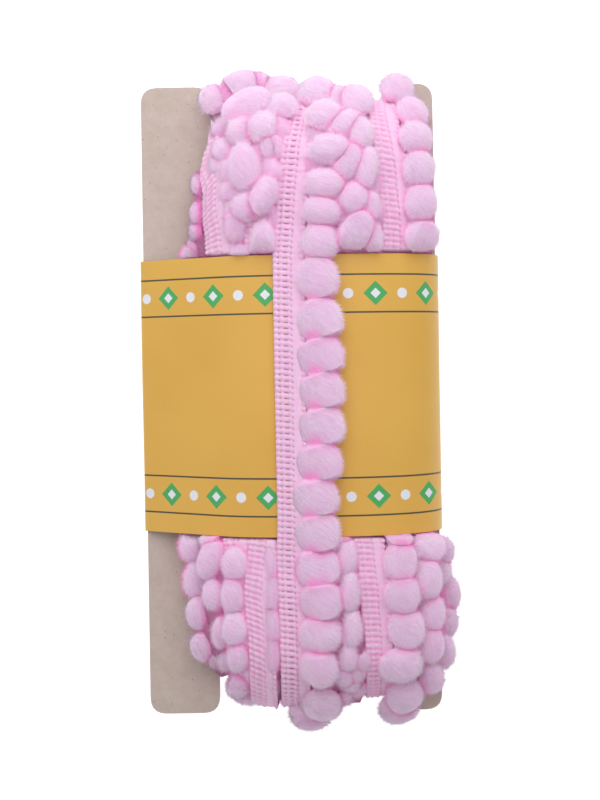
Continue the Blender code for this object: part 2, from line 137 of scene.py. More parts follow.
def skin(x, u):
    """Points of the wound body's skin, for arrays of x and u."""
    x, u = np.broadcast_arrays(np.asarray(x, float), np.asarray(u, float) % 4)
    part = np.floor(u)
    t = u - part
    straight = half_length(x) - BODY_END
    yf = straight_y(x, t)
    yb = straight_y(x, 1 - t)
    front, back = front_height(x, straight), back_depth(x, straight)
    up = np.where(part == 1, np.cos(np.pi * t), -np.cos(np.pi * t))
    ye = np.where(part == 1, -1, 1) * (straight + BODY_END * np.sin(np.pi * t))
    ze = (front - back) / 2 + (front + back) / 2 * up
    y = np.select([part == 0, part == 2], [yf, yb], ye)
    z = np.select([part == 0, part == 2], [front_height(x, yf), -back_depth(x, yb)], ze)
    return np.stack([x, y, CARD_MID_Z + z], -1)


def outward(x, u):
    """Which way the skin faces."""
    step_x, step_u = 0.4, 0.02
    across = skin(np.asarray(x) + step_x, u) - skin(np.asarray(x) - step_x, u)
    along = skin(x, np.asarray(u) + step_u) - skin(x, np.asarray(u) - step_u)
    return unit(np.cross(along, across))


def round_end(front, back, t):
    return mix(front, back, smooth(2 * t - 0.9))


def turn_edge(name, u):
    """Where a turn's tape has its free edge along X, for an array of u."""
    turn = TURNS[name]
    u = np.asarray(u, float) % 4
    ys, xs = zip(*turn["front"][::-1])
    front = np.interp(skin(0.0, u)[..., 1], ys, xs)
    at_low = round_end(front, turn["back"], u - 1)
    at_top = round_end(front, turn["back"], 4 - u)
    return np.select([u < 1, u < 2, u < 3], [front, at_low, np.full_like(u, turn["back"])], at_top)


# ---- Mesh making
def new_mesh(name, points, faces, material):
    """An object from arrays: points in millimetres, and faces that all have as many corners."""
    mesh = bpy.data.meshes.new(name)
    points = np.asarray(points, np.float32).reshape(-1, 3) * MM
    faces = np.asarray(faces, np.int32)
    count, size = faces.shape
    mesh.vertices.add(len(points))
    mesh.vertices.foreach_set("co", points.ravel())
    mesh.loops.add(count * size)
    mesh.loops.foreach_set("vertex_index", faces.ravel())
    mesh.polygons.add(count)
    mesh.polygons.foreach_set("loop_start", np.arange(0, count * size, size, dtype=np.int32))
    mesh.polygons.foreach_set("use_smooth", np.full(count, True))
    mesh.update(calc_edges=True)
    mesh.validate()
    mesh.materials.append(material)
    obj = bpy.data.objects.new(name, mesh)
    bpy.context.scene.collection.objects.link(obj)
    return obj


def grid_quads(rows, columns, wrap_rows=False):
    r = np.arange(rows if wrap_rows else rows - 1)
    c = np.arange(columns - 1)
    r, c = np.meshgrid(r, c, indexing="ij")
    a, b = r * columns, (r + 1) % rows * columns
    return np.stack([a + c, b + c, b + c + 1, a + c + 1], -1).reshape(-1, 4)


def attribute(obj, name, kind, values):
    """Stores values for each point of obj's mesh: kind is FLOAT_COLOR or FLOAT_VECTOR."""
    layer = obj.data.attributes.new(name, kind, "POINT")
    values = np.asarray(values, np.float32)
    if kind == "FLOAT_COLOR":
        full = np.ones((len(values), 4), np.float32)
        full[:, :values.shape[1]] = values
        layer.data.foreach_set("color", full.ravel())
    else:
        layer.data.foreach_set("vector", values.ravel())


def make_piece(name, points, faces, shade, grain, material, normals=None):
    """A piece of the winding. shade: painted shade, chance, tone. grain: a vector along which its fibres run.
    """
    used = np.unique(faces)
    lookup = np.zeros(len(points), np.int64)
    lookup[used] = np.arange(len(used))
    obj = new_mesh(name, points[used], lookup[faces], material)
    attribute(obj, "shade", "FLOAT_COLOR", shade[used])
    attribute(obj, "grain", "FLOAT_VECTOR", grain[used])
    if normals is not None:
        obj.data.normals_split_custom_set_from_vertices(np.asarray(normals[used], np.float32))
    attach(obj, "root")
    return obj


# ---- Materials
class Nodes:
    """Adds nodes to a material and links them."""

    def __init__(self, name):
        self.material = bpy.data.materials.new(name)
        self.material.use_nodes = True
        self.tree = self.material.node_tree
        self.shader = self.tree.nodes["Principled BSDF"]

    def add(self, kind, inputs=None, **fields):
        node = self.tree.nodes.new("ShaderNode" + kind)
        for field, value in fields.items():
            setattr(node, field, value)
        for key, value in (inputs or {}).items():
            self.put(node.inputs[key], value)
        return node

    def put(self, socket, value):
        if isinstance(value, bpy.types.NodeSocket):
            self.tree.links.new(value, socket)
        elif isinstance(value, bpy.types.Node):
            self.tree.links.new(value.outputs[0], socket)
        elif isinstance(value, tuple) and len(value) == 3 and socket.type == "RGBA":
            socket.default_value = (*value, 1.0)
        else:
            socket.default_value = value

    def math(self, operation, a, b=0.0, c=0.0):
        return self.add("Math", {0: a, 1: b, 2: c}, operation=operation).outputs[0]

    def blend(self, factor, a, b):
        node = self.add("Mix", data_type="RGBA")
        self.put(node.inputs[0], factor)
        self.put(node.inputs[6], a)
        self.put(node.inputs[7], b)
        return node.outputs[2]

    def ramp(self, value, low, high, to_low=0.0, to_high=1.0, smooth_step=False):
        node = self.add("MapRange", {0: value, 1: low, 2: high, 3: to_low, 4: to_high})
        node.interpolation_type = "SMOOTHSTEP" if smooth_step else "LINEAR"
        return node.outputs[0]

    def noise(self, vector, scale, detail, roughness=0.5, distortion=0.0):
        inputs = {"Vector": vector, "Scale": scale, "Detail": detail, "Roughness": roughness,
                  "Distortion": distortion}
        return self.add("TexNoise", inputs).outputs["Fac"]

    def wave(self, vector, scale, distortion, direction):
        inputs = {"Vector": vector, "Scale": scale, "Distortion": distortion, "Detail": 2.0}
        return self.add("TexWave", inputs, bands_direction=direction).outputs["Fac"]

    def bump(self, height, distance, strength):
        return self.add("Bump", {"Height": height, "Distance": distance, "Strength": strength})

    def grain(self):
        return self.add("Attribute", attribute_name="grain", attribute_type="GEOMETRY").outputs["Vector"]

    def shade(self):
        """The painted shade, chance and tone of a place."""
        colour = self.add("Attribute", attribute_name="shade", attribute_type="GEOMETRY")
        return self.add("SeparateColor", {0: colour.outputs["Color"]}).outputs

    def set(self, **values):
        for name, value in values.items():
            self.put(self.shader.inputs[name.replace("_", " ")], value)


def linear(r, g, b):
    """A colour given as it looks on a screen, 0 to 255, as linear light."""
    return tuple((c / 255 / 12.92) if c < 10.3 else ((c / 255 + 0.055) / 1.055) ** 2.4 for c in (r, g, b))


def pompom_material():
    """Brushed pile. Its fibres run over each ball from the root, and its creases carry painted shade in
    deeper pink.
    """
    n = Nodes("brushed_yarn")
    painted_shade, chance, _ = n.shade()
    x, y, z = n.add("SeparateXYZ", {0: n.grain()}).outputs
    squares = n.math("ADD", n.math("MULTIPLY", x, x), n.math("MULTIPLY", y, y))
    reach = n.math("SQRT", n.math("ADD", squares, 0.01))
    angle = n.add("CombineXYZ", {0: n.math("MULTIPLY", n.math("DIVIDE", x, reach), 5.0),
                                 1: n.math("MULTIPLY", n.math("DIVIDE", y, reach), 5.0),
                                 2: n.math("MULTIPLY_ADD", z, 1.1, n.math("MULTIPLY", chance, 57.0))})
    fibres = n.noise(angle, 1.4, 4.0, 0.62, 0.35)
    place = n.add("TexCoord").outputs["Object"]
    lint = n.noise(place, 1500.0, 3.0, 0.7)
    soft = n.noise(place, 160.0, 1.0)
    light = n.blend(n.ramp(fibres, 0.3, 0.72), linear(216, 181, 215), linear(235, 211, 232))
    light = n.blend(n.ramp(soft, 0.35, 0.7, 0.0, 0.35), light, linear(226, 200, 226))
    light = n.blend(n.math("MULTIPLY", chance, 0.35), light, linear(230, 190, 220))
    # Painted shade: deeper, then hot pink in creases, at roots and low on the turns.
    body = n.blend(n.ramp(painted_shade, 0.0, 0.75, smooth_step=True), light, linear(252, 152, 212))
    body = n.blend(n.ramp(painted_shade, 0.7, 1.0, 0.0, 0.8), body, linear(244, 100, 178))
    relief = n.math("ADD", n.math("MULTIPLY", fibres, 1.0), n.math("MULTIPLY", lint, 0.45))
    bump = n.bump(relief, 0.0005, 0.55)
    n.set(Base_Color=body, Roughness=0.95, Normal=bump, Sheen_Weight=0.35, Sheen_Roughness=0.55,
          Sheen_Tint=(1.0, 0.84, 0.97), Specular_IOR_Level=0.02, Subsurface_Weight=0.7,
          Subsurface_Radius=(1.0, 0.45, 0.75), Subsurface_Scale=0.005)
    return n.material


def fibre_material():
    """The single fibres that stand off the pompoms."""
    n = Nodes("pile_fibres")
    painted_shade, chance, _ = n.shade()
    light = n.blend(chance, linear(245, 220, 242), linear(245, 209, 238))
    # Painted shade: fibres in creases are deeper pink.
    body = n.blend(n.ramp(painted_shade, 0.0, 0.7, smooth_step=True), light, linear(254, 142, 210))
    n.set(Base_Color=body, Roughness=1.0, Specular_IOR_Level=0.0, Sheen_Weight=0.0)
    return n.material


def tape_material():
    """Knitted yarn, finer and lighter than the pile."""
    n = Nodes("knitted_yarn")
    painted_shade, _, tone = n.shade()
    grain = n.grain()
    stretched = n.add("VectorMath", {0: grain, 1: (1.0, 2.6, 1.0)}, operation="MULTIPLY")
    thread = n.noise(stretched, 2.2, 4.0, 0.65)
    wave = n.wave(grain, 1.9, 2.5, "DIAGONAL")
    light = n.blend(n.ramp(thread, 0.3, 0.72), linear(249, 198, 233), linear(253, 216, 242))
    light = n.blend(n.math("MULTIPLY", tone, 0.6), light, linear(252, 210, 240))
    # Painted shade: deeper pink in the grooves and beside the holes.
    body = n.blend(n.ramp(painted_shade, 0.0, 0.6, smooth_step=True), light, linear(247, 174, 219))
    body = n.blend(n.ramp(painted_shade, 0.6, 1.0), body, linear(238, 124, 186))
    relief = n.math("ADD", n.math("MULTIPLY", thread, 1.0), n.math("MULTIPLY", wave, 0.35))
    bump = n.bump(relief, 0.0003, 0.6)
    n.set(Base_Color=body, Roughness=0.78, Normal=bump, Sheen_Weight=0.25, Sheen_Roughness=0.5,
          Sheen_Tint=(1.0, 0.92, 1.0), Specular_IOR_Level=0.2, Subsurface_Weight=0.2,
          Subsurface_Radius=(1.0, 0.35, 0.6), Subsurface_Scale=0.0015)
    return n.material


def shaded_inner_material():
    """The turns beneath, seen only between the others. Their pink, deeper than the outer yarn, is painted
    shade for the gaps they lie in.
    """
    n = Nodes("inner_turns")
    grain = n.grain()
    fuzz = n.noise(grain, 1.4, 4.0)
    # Painted shade: the same yarn, coloured deeper pink for the gaps it is seen in.
    body = n.blend(n.ramp(fuzz, 0.3, 0.7), linear(244, 138, 200), linear(250, 176, 220))
    bump = n.bump(n.math("ADD", n.wave(grain, 0.9, 3.0, "Y"), fuzz), 0.0008, 0.8)
    n.set(Base_Color=body, Roughness=0.95, Normal=bump, Specular_IOR_Level=0.05)
    return n.material


def card_material():
    """Grey pressed board with a few flecks."""
    n = Nodes("pressed_board")
    place = n.add("TexCoord").outputs["Object"]
    pulp = n.noise(place, 260.0, 6.0, 0.7)
    fine = n.noise(place, 2400.0, 3.0, 0.8)
    fleck = n.add("TexVoronoi", {"Vector": place, "Scale": 420.0, "Randomness": 1.0})
    body = n.blend(n.ramp(pulp, 0.3, 0.7), linear(192, 176, 166), linear(206, 192, 184))
    body = n.blend(n.ramp(fine, 0.35, 0.75, 0.0, 0.5), body, linear(182, 164, 152))
    body = n.blend(n.ramp(fleck.outputs["Distance"], 0.05, 0.12, 0.75, 0.0), body, linear(140, 122, 110))
    bump = n.bump(fine, 0.0002, 0.5)
    n.set(Base_Color=body, Roughness=0.88, Normal=bump, Specular_IOR_Level=0.25)
    return n.material


# The band's border, measured in from either edge: two rules, and lozenges and dots by turns between them
RULES_AT, RULE_THICKNESS = (6.0, 17.0), 0.5
MOTIFS_AT, MOTIF_PITCH = 11.5, 16.0
LOZENGE, LOZENGE_HEART, DOT = 3.6, 1.5, 1.5


def band_material():
    """Yellow paper with a plain printed border. grain holds the place round the band and up it."""
    n = Nodes("printed_paper")
    round_it, up, _ = n.add("SeparateXYZ", {0: n.grain()}).outputs
    place = n.add("TexCoord").outputs["Object"]
    cloud = n.noise(place, 30.0, 2.0)
    fibre = n.noise(place, 1800.0, 3.0)
    body = n.blend(n.ramp(cloud, 0.3, 0.7), linear(216, 167, 74), linear(223, 175, 82))

    def inside(away, limit, blur):
        return n.ramp(away, limit - blur, limit + blur, 1.0, 0.0)

    def motifs(height, radius, shift, dots=False):
        """1 inside a row of lozenges or dots."""
        turned = n.math("FRACT", n.math("MULTIPLY_ADD", round_it, 1 / MOTIF_PITCH, shift))
        dx = n.math("MULTIPLY", n.math("SUBTRACT", turned, 0.5), MOTIF_PITCH)
        dy = n.math("SUBTRACT", up, height)
        if dots:
            squares = n.math("ADD", n.math("MULTIPLY", dx, dx), n.math("MULTIPLY", dy, dy))
            return inside(n.math("SQRT", squares), radius, 0.08)
        return inside(n.math("ADD", n.math("ABSOLUTE", dx), n.math("ABSOLUTE", dy)), radius, 0.08)

    def rule(height):
        away = n.math("ABSOLUTE", n.math("SUBTRACT", up, height))
        return inside(away, RULE_THICKNESS / 2, 0.06)

    green, white, dark = linear(73, 168, 92), linear(226, 228, 236), linear(70, 70, 60)
    for edge, side in ((BAND_LOW, 1), (BAND_HIGH, -1)):
        row = edge + side * MOTIFS_AT
        body = n.blend(rule(edge + side * RULES_AT[0]), body, dark)
        body = n.blend(motifs(row, LOZENGE, 0.0), body, green)
        body = n.blend(motifs(row, LOZENGE_HEART, 0.0), body, white)
        body = n.blend(motifs(row, DOT, 0.5, dots=True), body, white)
        body = n.blend(rule(edge + side * RULES_AT[1]), body, dark)
    relief = n.math("ADD", n.math("MULTIPLY", fibre, 0.3), cloud)
    bump = n.bump(relief, 0.0004, 0.3)
    n.set(Base_Color=body, Roughness=0.42, Normal=bump, Specular_IOR_Level=0.45)
    return n.material


POMPOM_YARN, FIBRE_YARN = pompom_material(), fibre_material()
TAPE_YARN, SHADED_INNER_YARN = tape_material(), shaded_inner_material()


# ---- Ladder tapes
ROW = 1.69  # from one crossbar of the ladder to the next
STATIONS = (0.05, 0.26, 0.5, 0.74, 0.95)  # along a row, as shares of it. Holes lie between rows
CROWNS = (0.0, 0.78, 1.0, 0.78, 0.0)  # how far up the crossbar each station is
TAPE_MIDDLE, LADDER_MIDDLE = 4.0, 3.0  # measured across the tape from its free edge
LADDER_SIDE, STRIP_SIDE = 5.8, 8.1  # where the ladder and the smooth strip end. The rest is picot
# Steps across the tape: distance from its free edge, height on a crossbar, height between rows, and how
# deep in shade. HOLES are the steps from which a hole opens, between rows, to the next one.
SECTION = (
    (0.02, -0.30, -0.30, 0.60), (-0.08, 0.75, 0.55, 0.30), (0.26, 1.34, 0.95, 0.05),
    (0.70, 1.56, 1.14, 0.00), (1.16, 1.30, 0.96, 0.06), (1.74, 1.22, 0.92, 0.10),
    (2.02, 1.46, 1.12, 0.02), (2.42, 1.58, 1.20, 0.00), (2.80, 1.34, 0.98, 0.06),
    (3.50, 1.20, 0.90, 0.10), (4.20, 1.32, 0.98, 0.06), (4.46, 1.50, 1.14, 0.02),
    (4.84, 1.56, 1.18, 0.00), (5.14, 1.34, 0.96, 0.08), (5.50, 1.12, 0.90, 0.10),
    (5.86, 1.04, 1.00, 0.04), (6.60, 1.16, 1.14, 0.00), (7.40, 1.12, 1.08, 0.00),
    (8.02, 0.96, 0.84, 0.12), (8.36, 1.24, 0.78, 0.30), (8.80, 1.66, 1.10, 0.04),
    (9.22, 1.40, 0.70, 0.20), (9.44, 0.30, 0.10, 0.70),
)
HOLES = (4, 8, 9, 13)
HIDING_STEP = 10  # rows are left out where this step lies under the band
UNDER_BAND = -0.9  # how low a tape is pressed there
SLANT = dict(left=-0.13, second=0.10, last=0.07, right=0.05)
# How wide each tape lies at the front, as a share of its full width, by Y
WIDE = dict(
    left=(
        (-90, 0.9), (-39, 0.91), (30, 1.0), (44, 1.05), (53, 1.02), (62, 0.95), (67, 0.98), (71, 0.98),
        (74, 0.88), (77, 0.7), (84, 0.58),
    ),
    second=(
        (-90, 0.75), (-80, 0.78), (-73, 0.8), (-69, 0.85), (-61, 0.9), (-49, 0.925), (-40, 0.915),
        (-30, 1.0), (42, 0.95), (52, 0.85), (90, 0.85),
    ),
    last=(
        (-90, 0.88), (-57, 0.92), (-43, 0.91), (-28, 0.885), (0, 0.92), (38, 0.95), (58, 0.93), (68, 0.96),
        (77, 0.9), (84, 0.82),
    ),
    right=(
        (-90, 0.74), (-82, 0.77), (-72, 0.825), (-64, 0.89), (-57, 0.955), (-50, 0.915), (-44, 0.9),
        (-40, 0.93), (43, 0.95), (50, 0.97), (60, 1.01), (71, 1.03), (76, 0.97), (84, 0.9), (88, 0.74),
    ),
)
# How far each tape's free edge strays from its turn's path at the front, by Y
STRAY = dict(
    left=(
        (-90, 0.5), (-60, 0.6), (-52, 0.8), (-44, 0.5), (-39, 0.2), (0, 0.0), (43, -0.4), (44, -0.2),
        (49, 0.3), (53, 0.8), (58, 0.7), (62, 0.8), (67, 1.1), (71, 0.9), (74, 0.1), (77, -0.9),
        (82, -0.8), (84, 0.4),
    ),
    second=(
        (-90, 1.6), (-73, 1.7), (-65, 1.5), (-61, 1.1), (-57, 0.6), (-53, 0.8), (-49, 0.5), (-42, 0.2),
        (-39, -0.2), (0, 0.0), (43, 0.4), (47, 0.3), (52, -0.2), (90, 0.0),
    ),
    last=(
        (-90, 0.0), (-74, 0.6), (-66, 0.5), (-57, 0.0), (-50, -0.25), (-43, -0.4), (-34, 0.0), (15, 0.15),
        (30, 0.3), (45, 0.55), (58, 0.4), (68, 0.3), (77, 0.6), (84, 0.85),
    ),
    right=(
        (-90, -0.7), (-82, -0.7), (-74, -0.3), (-69, 0.0), (-60, 0.05), (-52, 0.35), (-44, 0.1),
        (-40, -0.3), (0, 0.0), (54, 0.0), (59, -0.35), (68, -0.35), (74, -0.5), (80, -0.7), (84, -0.7),
        (87.4, 0.4),
    ),
)


def from_front(u):
    """u counted on from the front either way, from -1.5 to 2.5."""
    return np.where(u > 2.5, u - 4, u)


def on_front(u):
    u = from_front(u)
    return smooth((u + 0.6) / 0.1) * smooth((1.6 - u) / 0.1)


def tape_edge(name, u):
    """Where a tape's free edge really lies along X."""
    y = skin(0.0, u)[..., 1]
    return turn_edge(name, u) + on_front(u) * np.interp(y, *zip(*STRAY[name]))


def under_band(y):
    """How much a tape is pressed flat, from 0 clear of the band to 1 under it."""
    return 1 - smooth((beyond_band(y) - 0.1) / 1.3)


def last_lift(u):
    """How high the last turn lies at its front, over the band and beside it."""
    u = from_front(u)
    away = beyond_band(skin(0.0, u)[..., 1])
    lift = mix(0.3, ON_BAND + 0.12, 1 - smooth((away - 1.0) / 10.0))
    return lift * smooth((u + 0.55) / 0.35) * smooth((1.55 - u) / 0.35)


def low_bulge(x, u):
    """How far the turns bulge past the rest, round the lower end."""
    return 2.8 * np.exp(-((np.asarray(u) % 4 - 1.5) / 0.26) ** 2) * smooth((x + 18) / 6) * smooth((9 - x) / 5)


def lie_across(edge, u, sway):
    """Where each place across a tape is in X, with its distance from the edge measured over the skin."""
    steepest = 1.3
    x = np.empty_like(sway)
    x[:, 0] = edge[:, 0] + sway[:, 0]
    for k in range(1, sway.shape[1]):
        step = sway[:, k] - sway[:, k - 1]
        middle = x[:, k - 1] + step / 2
        rise = (skin(middle + 0.2, u[:, k]) - skin(middle - 0.2, u[:, k])) / 0.4
        grow = np.minimum(np.hypot(rise[..., 0], rise[..., 2]), steepest)
        x[:, k] = x[:, k - 1] + step / grow + edge[:, k] - edge[:, k - 1]
    return x


def by_hole(hole):
    """Which steps across the tape are at either side of a hole."""
    near = np.zeros(len(hole) + 1, bool)
    near[:-1] |= hole
    near[1:] |= hole
    return near


def tape_height(name, over, x, u, high):
    """How high over the skin a tape's places lie, and how much the band presses them.

    over: the turn that covers this one, if any. high: their height on the tape itself.
    """
    side = np.array(SECTION)[:, 0]
    y = skin(0.0, u)[..., 1]
    pressed = under_band(y)
    lift = np.full_like(high, TURNS[name]["stack"])
    if name == "left":
        lift = lift + on_front(u) * smooth((y - 40) / 20) * 0.10 * side
    if name == "last":
        lift = last_lift(u)
        pressed = pressed * (1 - on_front(u))
    lift = lift + low_bulge(x, u)
    if over:
        tucked = smooth((x - tape_edge(over, u) + 0.9) / 1.2)
        high = mix(high + lift, np.minimum(high, 0.5), tucked)
    else:
        high = high + lift
    if name == "last":
        low_wall = (side == side[0]) | (side == side[-1])
        high = np.where(low_wall, np.maximum(high - 0.2, lift - 0.15), high)
    return mix(high, UNDER_BAND, pressed), pressed


def tape_piece(name, over=None):
    """One turn's tape all the way round the body, as rows of crossbars. over: the turn that covers it."""
    side, bar, rim, shade = np.array(SECTION).T
    hole = np.isin(np.arange(len(side) - 1), HOLES)
    dense = np.linspace(0, 4, 4001)
    along = distances(skin(tape_edge(name, dense) + TAPE_MIDDLE, dense))
    rows = int(round(along[-1] / ROW))
    row = along[-1] / rows
    s0 = (np.repeat(np.arange(rows), len(STATIONS)) + np.tile(STATIONS, rows)) * row
    crown = np.tile(np.array(CROWNS), rows)[:, None]
    knots = np.linspace(0, along[-1], rows // 4 + 1)
    wander = np.interp(s0, knots, np.r_[rng.normal(0, 0.10, rows // 4), 0])[:, None]
    lean = SLANT[name] * (side - LADDER_MIDDLE) + 0.26 * smooth((side - 4.5) / 1.0)
    s = (s0[:, None] + lean) % along[-1]
    u = np.interp(s, along, dense)
    scalloped = np.where(side < 0.5, -0.10 * crown, 0)
    sway = side + 0.10 * wander + scalloped + np.where(side > 9.0, 0.16 * crown, 0)
    jitter = rng.normal(0, 0.045, (rows, len(side))).repeat(len(STATIONS), 0)
    high = mix(rim, bar, crown) + jitter * (side > 0.2)
    strip = np.exp(-((side - 7.0) / 0.9) ** 2)
    high = high + strip * (0.10 * np.sin(s0 / 9.0 + 1.3) + 0.05 * np.sin(s0 / 3.1))[:, None]
    y = skin(0.0, u)[..., 1]
    x = lie_across(tape_edge(name, u), u, sway * np.interp(y, *zip(*WIDE[name])))
    high, pressed = tape_height(name, over, x, u, high)
    points = skin(x, u) + outward(x, u) * high[..., None]
    count, size = points.shape[:2]
    quads = grid_quads(count, size, wrap_rows=True)
    # Only the last turn is open between its rows. The others lie close on the turns beneath.
    between = np.arange(count) % len(STATIONS) == len(STATIONS) - 1
    opened = between[:, None] & (hole & (name == "last"))[None, :]
    hidden = (pressed[:, HIDING_STEP] > 0.999)[:, None] & np.ones(size - 1, bool)[None, :]
    keep = ~(opened | hidden).reshape(-1)
    # Painted shade in the grooves between crossbars, most beside the holes, with a little random change from
    # row to row.
    deep = 0.30 if name == "last" else 0.52
    groove = np.where(side < LADDER_SIDE, deep, 0.08) * np.where(by_hole(hole), 1.0, 0.40)
    dark = 0.8 * shade + (1 - crown) * groove
    dark = np.clip(dark + 0.12 * rng.random((rows, 1)).repeat(len(STATIONS), 0) - 0.06, 0, 1)
    in_strip = (side > LADDER_SIDE) & (side < STRIP_SIDE)
    tone = np.where(in_strip, 1.0, 0.0) * np.ones_like(dark)
    shades = np.stack([dark, np.full_like(dark, 0.5), tone], -1).reshape(-1, 3)
    grain = np.stack([sway, s + 0 * sway, high], -1).reshape(-1, 3)
    return make_piece("ladder_tape_" + name, points.reshape(-1, 3), quads[keep], shades, grain, TAPE_YARN)


tapes = [tape_piece("left", "second"), tape_piece("second", "last"), tape_piece("last"), tape_piece("right")]


# ---- Inner turns
def inner_turns():
    """The soft body beneath the outer turns: it stands up a little between their tapes."""
    u = np.linspace(0, 4, 241)[:-1]
    x = BODY_MIDDLE + BODY_HALF * np.sin(np.pi / 2 * np.linspace(-1, 1, 61))
    uu, xx = np.meshgrid(u, x, indexing="ij")
    bare = np.ones_like(xx)
    for name in TURNS:
        edge = tape_edge(name, uu)
        bare = bare * (1 - smooth((xx - edge + 1.2) / 0.8) * smooth((edge + 10.4 - xx) / 0.8))
    lump = 0.5 + 0.25 * np.sin(xx * 0.75 + 2 * np.sin(uu * 11)) + 0.25 * np.sin(uu * 69 + xx * 0.3)
    edge_off = smooth((xx - BODY_LEFT) / 3.0) * smooth((BODY_RIGHT - xx) / 3.0)
    high = -0.35 + bare * edge_off * (1.9 + 1.6 * lump)
    y = skin(0.0, uu)[..., 1]
    past_left = smooth((tape_edge("left", uu) + 1.4 - xx) / 1.6) * on_front(uu)
    high = mix(high, -2.6, past_left * smooth((y - 50) / 10))
    high = mix(high, -0.3, under_band(y))
    points = skin(xx, uu) + outward(xx, uu) * (high + low_bulge(xx, uu))[..., None]
    quads = grid_quads(len(u), len(x), wrap_rows=True)
    every = points.reshape(-1, 3)
    # Each side is closed by faces from front to back across the loop.
    k = np.arange(len(u) // 2 - 1)
    zipped = np.stack([k, k + 1, len(u) - 2 - k, len(u) - 1 - k], -1) * len(x)
    caps = [zipped[:, ::-1], zipped + len(x) - 1]
    grain = np.stack([xx, uu * 110, 0 * xx], -1).reshape(-1, 3)
    shade = np.tile([0.8, 0.5, 0.0], (len(every), 1))
    return make_piece("inner_turns", every, np.concatenate([quads] + caps), shade, grain, SHADED_INNER_YARN)


core = inner_turns()


# ---- Camera, and where pompoms show in its picture
PICTURE_WIDTH, PICTURE_HEIGHT = 600, 800  # pixels
CAMERA_PLACE = np.array([0.00284, 0.01418, 0.397])  # metres
CAMERA_TURN = math.radians(-0.95)
LENS, SENSOR_HEIGHT, SHIFT_Y = 55.48, 36.0, -0.06
FOCAL = LENS / SENSOR_HEIGHT * PICTURE_HEIGHT  # pixels
